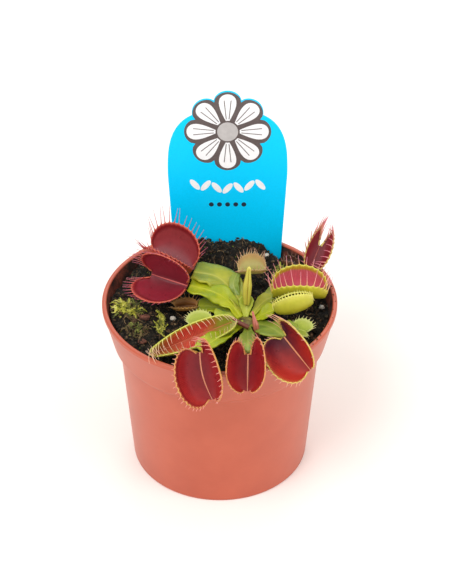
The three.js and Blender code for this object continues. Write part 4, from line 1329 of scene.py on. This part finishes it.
def tag_outline():
    """The paddle, with the petals standing out over its top, and the stake."""
    power = 2 / TAG_SHOULDER_POWER
    paddle = []
    for k in range(TAG_SHOULDER_STEPS + 1):
        angle = pi / 2 * k / TAG_SHOULDER_STEPS
        x = TAG_HALF_WIDTH * sin(angle) ** power
        z = TAG_SHOULDER_Z + (TAG_TOP_Z - TAG_SHOULDER_Z) * cos(angle) ** power
        if hypot(x, z - FLOWER_Z) > flower_radius(atan2(x, z - FLOWER_Z)):
            paddle.append((x, z))
    x, z = paddle[0]
    meet = atan2(x, z - FLOWER_Z)
    angles = [meet * k / FLOWER_HEAD_STEPS for k in range(FLOWER_HEAD_STEPS)]
    right = [around_flower(flower_radius(angle), angle) for angle in angles] + paddle
    right += [(TAG_FOOT_HALF_WIDTH, TAG_NECK_Z), (TAG_FOOT_HALF_WIDTH - 2, TAG_NECK_Z - 2.5)]
    right += [(TAG_STAKE_HALF_WIDTH, TAG_STAKE_Z), (TAG_STAKE_HALF_WIDTH - 1, TAG_POINT_Z + 6)]
    return right + [(0, TAG_POINT_Z)] + [(-x, z) for x, z in reversed(right[1:])]


def plate(builder, outline, low, high, material=0):
    """A flat plate on the label between two lifts."""
    count = len(outline)
    vertices = [tag_point(x, z, low) for x, z in outline] + [tag_point(x, z, high) for x, z in outline]
    faces = [tuple(range(count)), tuple(reversed(range(count, 2 * count)))]
    for k in range(count):
        n = (k + 1) % count
        faces.append((k, count + k, count + n, n))
    builder.add(vertices, faces, material)


def layer(ink, outline, low, high, material):
    """A printed shape, from one level of ink on the label's face to a higher one."""
    face = TAG_THICKNESS / 2
    plate(ink, outline, face + low * PRINT_LIFT, face + high * PRINT_LIFT, material)


def ellipse(x, z, half_width, half_height, turn=0.0):
    points = []
    for angle in turns(ELLIPSE_SIDES):
        a, b = half_width * sin(angle), half_height * cos(angle)
        points.append((x + a * cos(turn) + b * sin(turn), z - a * sin(turn) + b * cos(turn)))
    return points


def petal(angle):
    """One petal of the printed flower, pointed at the middle and round at its end."""
    points = []
    for t in turns(PETAL_SIDES):
        r = PETAL_REACH * (0.62 + 0.38 * cos(t))
        points.append(around_flower(r, angle, r * PETAL_WIDTH * sin(t)))
    return points


def petal_vein(angle):
    """A thin line along a petal."""
    half = VEIN_HALF_WIDTH
    corners = ((VEIN_START, -half), (VEIN_END, -half), (VEIN_END, half), (VEIN_START, half))
    return [around_flower(r, angle, side) for r, side in corners]


def print_flower(ink):
    edge = [around_flower(flower_radius(a, FLOWER_PRINT_SHARE), a) for a in turns(FLOWER_PRINT_SIDES)]
    layer(ink, edge, 0, 1, LINE)
    for angle in turns(FLOWER_PETALS):
        layer(ink, petal(angle), 1, 2, WHITE)
        for side in (-VEIN_ANGLE, VEIN_ANGLE):
            layer(ink, petal_vein(angle + side), 2, 3, LINE)
    layer(ink, ellipse(0, FLOWER_Z, FLOWER_RING_RADIUS, FLOWER_RING_RADIUS), 2, 4, LINE)
    layer(ink, ellipse(0, FLOWER_Z, FLOWER_MIDDLE_RADIUS, FLOWER_MIDDLE_RADIUS), 4, 5, GREY)


def print_rows(ink):
    """The garland of leaves that lean left and right in turn, and the dots."""
    for k in range(GARLAND["count"]):
        x = GARLAND["step"] * (k - (GARLAND["count"] - 1) / 2)
        z = GARLAND["z"] + GARLAND["wave"] * cos(k * GARLAND["beat"])
        turn = GARLAND["turn"] if k % 2 else -GARLAND["turn"]
        layer(ink, ellipse(x, z, *GARLAND["size"], turn), 0, 1, WHITE)
    for k in range(DOTS["count"]):
        x = DOTS["step"] * (k - (DOTS["count"] - 1) / 2)
        layer(ink, ellipse(x, DOTS["z"], DOTS["radius"], DOTS["radius"]), 0, 1, DARK)


def build_tag():
    face = TAG_THICKNESS / 2
    blank = Builder()
    plate(blank, tag_outline(), -face, face)
    blank.dress("tag", "tag", [tag_material()], smooth=False)
    ink = Builder()
    print_flower(ink)
    print_rows(ink)
    materials = [plain_material(name) for name in PRINT_MATERIALS]
    place(ink.finish("tag_print", materials, smooth=False), "tag")


# Moss. Each patch has low fronds round its middle and short shoots among them. reach is how far a frond
# goes, and kinds are the materials to draw from. The strand has a stem of its own along a path on the soil.
MOSS = [
    dict(
        name="moss_left", centre=(-33.2, -2.5), size=(4.8, 5), fronds=62, shoots=60, reach=5.2,
        kinds=(0, 0, 0, 1, 2), seed=21,
    ),
    dict(
        name="moss_left_front", centre=(-30, -14.5), size=(4.8, 4), fronds=20, shoots=46, reach=3.2,
        kinds=(1, 2, 2), seed=22,
    ),
    dict(
        name="moss_left_strand", centre=(-21, -9.5), size=(1.6, 6.5), fronds=8, shoots=40, reach=2.4,
        path=((-23, -2.2), (-20.6, -4.4), (-20.6, -9.6), (-21.9, -13.4), (-19.6, -16.2)),
        kinds=(0, 1), seed=23,
    ),
    dict(
        name="moss_back_right", centre=(22.5, 19.5), size=(3, 3), fronds=20, shoots=50, reach=2.4,
        kinds=(0, 1, 2), seed=24,
    ),
]
MOSS_MATERIALS = ("moss_bright", "moss_olive", "moss_brown")
MOSS_STEM_RADIUS = 0.12
MOSS_TIP_RADIUS = 0.04
FROND_SPREAD = 0.7
FROND_STEPS = 4
FROND_LEAF_LENGTH = 0.95
FROND_LEAF_SPACING = 0.38
SHOOT_LENGTH = 2.0
SHOOT_LEAVES = 5
SHOOT_LEAF_LENGTH = 0.7
SHOOT_BEND = 0.6
STRAND_STEPS = 24
STRAND_LIFT = 0.8
STRAND_LEAF_SIZE = 1.25


def moss_leaf(builder, at, along, out, material):
    """A small pointed leaf: a thin tetrahedron that is rooted in its stem."""
    wide = along * 0.2
    corners = [at + wide, at - wide, at + out, at + UP * 0.1]
    faces = [(0, 1, 3), (1, 2, 3), (2, 0, 3), (0, 2, 1)]
    if (corners[1] - corners[0]).cross(corners[3] - corners[0]).dot(corners[2] - corners[0]) > 0:
        faces = [tuple(reversed(face)) for face in faces]
    builder.add(corners, faces, material)


def moss_stem(builder, points, material):
    builder.tube(points, [MOSS_STEM_RADIUS] * (len(points) - 1) + [MOSS_TIP_RADIUS], 3, material)


def frond(builder, points, size, material, draw):
    """A stem along the points with a row of leaves on either side, longest in its middle."""
    moss_stem(builder, points, material)
    length = sum((b - a).length for a, b in zip(points, points[1:]))
    count = max(int(length / FROND_LEAF_SPACING), 3)
    for k, (at, along) in enumerate(curve_points(points, count)):
        side = along.cross(UP).normalized()
        long = size * FROND_LEAF_LENGTH * (0.45 + 0.55 * sin(pi * min(k / count + 0.15, 1)))
        for way in (-1, 1):
            tilt = Vector((draw.uniform(-0.3, 0.3), draw.uniform(-0.3, 0.3), draw.uniform(0.1, 0.7)))
            out = (side * way + along * 0.6 + tilt).normalized() * long
            moss_leaf(builder, at, along, out, material)


def moss_shoot(builder, root, direction, length, material, draw):
    """A short bent stem with small pointed leaves round it."""
    bend = Vector((draw.uniform(-0.5, 0.5), draw.uniform(-0.5, 0.5), 0))

    def stem(t):
        return root + direction * length * t + bend * length * t * t * SHOOT_BEND

    moss_stem(builder, [stem(0), stem(0.5), stem(1)], material)
    for k in range(SHOOT_LEAVES):
        angle = k * GOLDEN_ANGLE + draw.uniform(0, 1)
        out = Vector((*polar(1, angle), 0.7)).normalized() * SHOOT_LEAF_LENGTH
        moss_leaf(builder, stem(0.3 + 0.16 * k), out.cross(UP).normalized(), out, material)


def arching_stem(root, angle, reach, draw):
    """Points of a stem that rises from its root and bends down again outwards."""
    bend = draw.uniform(-0.5, 0.5)
    rise = draw.uniform(0.5, 1.7)
    points = []
    x, y = root
    for k in range(FROND_STEPS + 1):
        t = k / FROND_STEPS
        points.append(on_peat(x, y, 0.2 + rise * sin(pi * 0.75 * t)))
        x += reach / FROND_STEPS * cos(angle + bend * t)
        y += reach / FROND_STEPS * sin(angle + bend * t)
    return points


def within_patch(moss, share, angle):
    x, y = moss["centre"]
    width, depth = moss["size"]
    return x + width * share * cos(angle), y + depth * share * sin(angle)


def add_fronds(builder, moss, draw):
    for k in range(moss["fronds"]):
        angle = k * GOLDEN_ANGLE
        root = within_patch(moss, FROND_SPREAD * sqrt((k + 0.5) / moss["fronds"]), angle)
        reach = moss["reach"] * draw.uniform(0.5, 1)
        stem = arching_stem(root, angle + draw.uniform(-2.2, 2.2), reach, draw)
        frond(builder, stem, draw.uniform(0.7, 1.1), draw.choice(moss["kinds"]), draw)


def add_shoots(builder, moss, draw):
    for k in range(moss["shoots"]):
        root = on_peat(*within_patch(moss, sqrt(draw.random()), k * GOLDEN_ANGLE), -0.2)
        direction = Vector((draw.uniform(-0.8, 0.8), draw.uniform(-0.8, 0.8), 1)).normalized()
        length = SHOOT_LENGTH * draw.uniform(0.4, 1)
        moss_shoot(builder, root, direction, length, draw.choice(moss["kinds"]), draw)


def build_moss():
    materials = [plain_material(name) for name in MOSS_MATERIALS]
    for moss in MOSS:
        draw = random.Random(moss["seed"])
        builder = Builder()
        add_fronds(builder, moss, draw)
        add_shoots(builder, moss, draw)
        if "path" in moss:
            stem = [on_peat(x, y, STRAND_LIFT) for x, y in moss["path"]]
            points = [p for p, _ in curve_points(stem, STRAND_STEPS)]
            frond(builder, points, STRAND_LEAF_SIZE, 0, draw)
        builder.dress(moss["name"], "moss", materials, smooth=False)


# Bark chips and grains of perlite
BITS = [
    dict(name="bark_chip_left", centre=(-27, -5.5), size=(2, 1.4, 1.2), slot="bark"),
    dict(name="bark_chip_front", centre=(-27.5, -19.5), size=(1.6, 1.1, 0.9), slot="bark"),
    dict(name="perlite_left", centre=(-16.8, -4.6), size=(1.1, 0.9, 0.9), slot="perlite"),
    dict(name="perlite_right", centre=(37.2, 2.5), size=(1, 1, 0.9), slot="perlite"),
    dict(name="perlite_back", centre=(17.5, 27.5), size=(0.8, 0.8, 0.8), slot="perlite"),
]
BIT_MATERIALS = {"bark": "bark_brown", "perlite": "perlite_white"}
BIT_UNEVENNESS = 0.3
BIT_NOISE_SCALE = 1.7


def build_bits():
    corners, faces = icosphere(3)
    made = {slot: plain_material(name) for slot, name in BIT_MATERIALS.items()}
    for bit in BITS:
        x, y = bit["centre"]
        size = Vector(bit["size"])
        centre = Vector((x, y, soil_height(x, y) + size.z / 2))
        turn = Matrix.Rotation(x, 3, "X") @ Matrix.Rotation(2 * x, 3, "Z")
        vertices = []
        for v in corners:
            rough = 1 + BIT_UNEVENNESS * noise.noise(v * BIT_NOISE_SCALE + centre)
            vertices.append(centre + turn @ v * rough * size)
        builder = Builder()
        builder.add(vertices, faces)
        builder.dress(bit["name"], bit["slot"], [made[bit["slot"]]])


# Stage, lights and camera
FLOOR_HALF_SIZE = 3000
WORLD_COLOR = (1, 0.985, 0.965, 1)
WORLD_STRENGTH = 0.76
# The name of each light, its place, where it points, its width and its watts
LIGHTS = [
    ("key_light", (-500, -600, 1100), (0, 0, 60), 700, 8.5),
    ("fill_light", (800, -500, 700), (0, 0, 60), 900, 4),
    ("back_light", (100, 900, 900), (0, 0, 70), 700, 2.5),
]
# The photograph's own view, found from the pot's ellipses
CAMERA_TARGET = Vector((2.31, 0, 71.93))
CAMERA_DISTANCE = 714.6
CAMERA_ELEVATION = radians(37.12)
CAMERA_LENS = 122.3
CAMERA_CLIP_START = 0.01


def build_stage():
    half = FLOOR_HALF_SIZE
    builder = Builder()
    corners = [Vector((x, y, 0)) for x, y in ((-half, -half), (half, -half), (half, half), (-half, half))]
    builder.add(corners, [(0, 1, 2, 3)])
    floor = builder.finish("floor", [plain_material("floor_white")], smooth=False)


def area_light(name, position, aim, width, watts):
    light = bpy.data.lights.new(name, "AREA")
    light.shape = "DISK"
    light.size = width * MM
    light.energy = watts
    lamp = bpy.data.objects.new(name, light)
    lamp.location = Vector(position) * MM
    direction = (Vector(aim) - Vector(position)).normalized()
    lamp.rotation_euler = direction.to_track_quat("-Z", "Y").to_euler()
    bpy.context.scene.collection.objects.link(lamp)


def build_lights():
    world = bpy.data.worlds.new("studio")
    world.use_nodes = True
    background = world.node_tree.nodes["Background"]
    background.inputs["Color"].default_value = WORLD_COLOR
    background.inputs["Strength"].default_value = WORLD_STRENGTH
    bpy.context.scene.world = world
    for light in LIGHTS:
        area_light(*light)


def build_camera():
    camera = bpy.data.cameras.new("camera")
    camera.lens = CAMERA_LENS
    camera.clip_start = CAMERA_CLIP_START
    view = bpy.data.objects.new("camera", camera)
    back = Vector((0, -cos(CAMERA_ELEVATION), sin(CAMERA_ELEVATION)))
    view.location = (CAMERA_TARGET + back * CAMERA_DISTANCE) * MM
    view.rotation_euler = (pi / 2 - CAMERA_ELEVATION, 0, 0)
    bpy.context.scene.collection.objects.link(view)
    bpy.context.scene.camera = view
    bpy.context.scene.view_settings.view_transform = "Standard"


build_camera()
build_pot()
build_soil()
build_tag()
build_crown()
build_traps()
build_leaves()
build_buds()
build_moss()
build_bits()
build_stage()
build_lights()
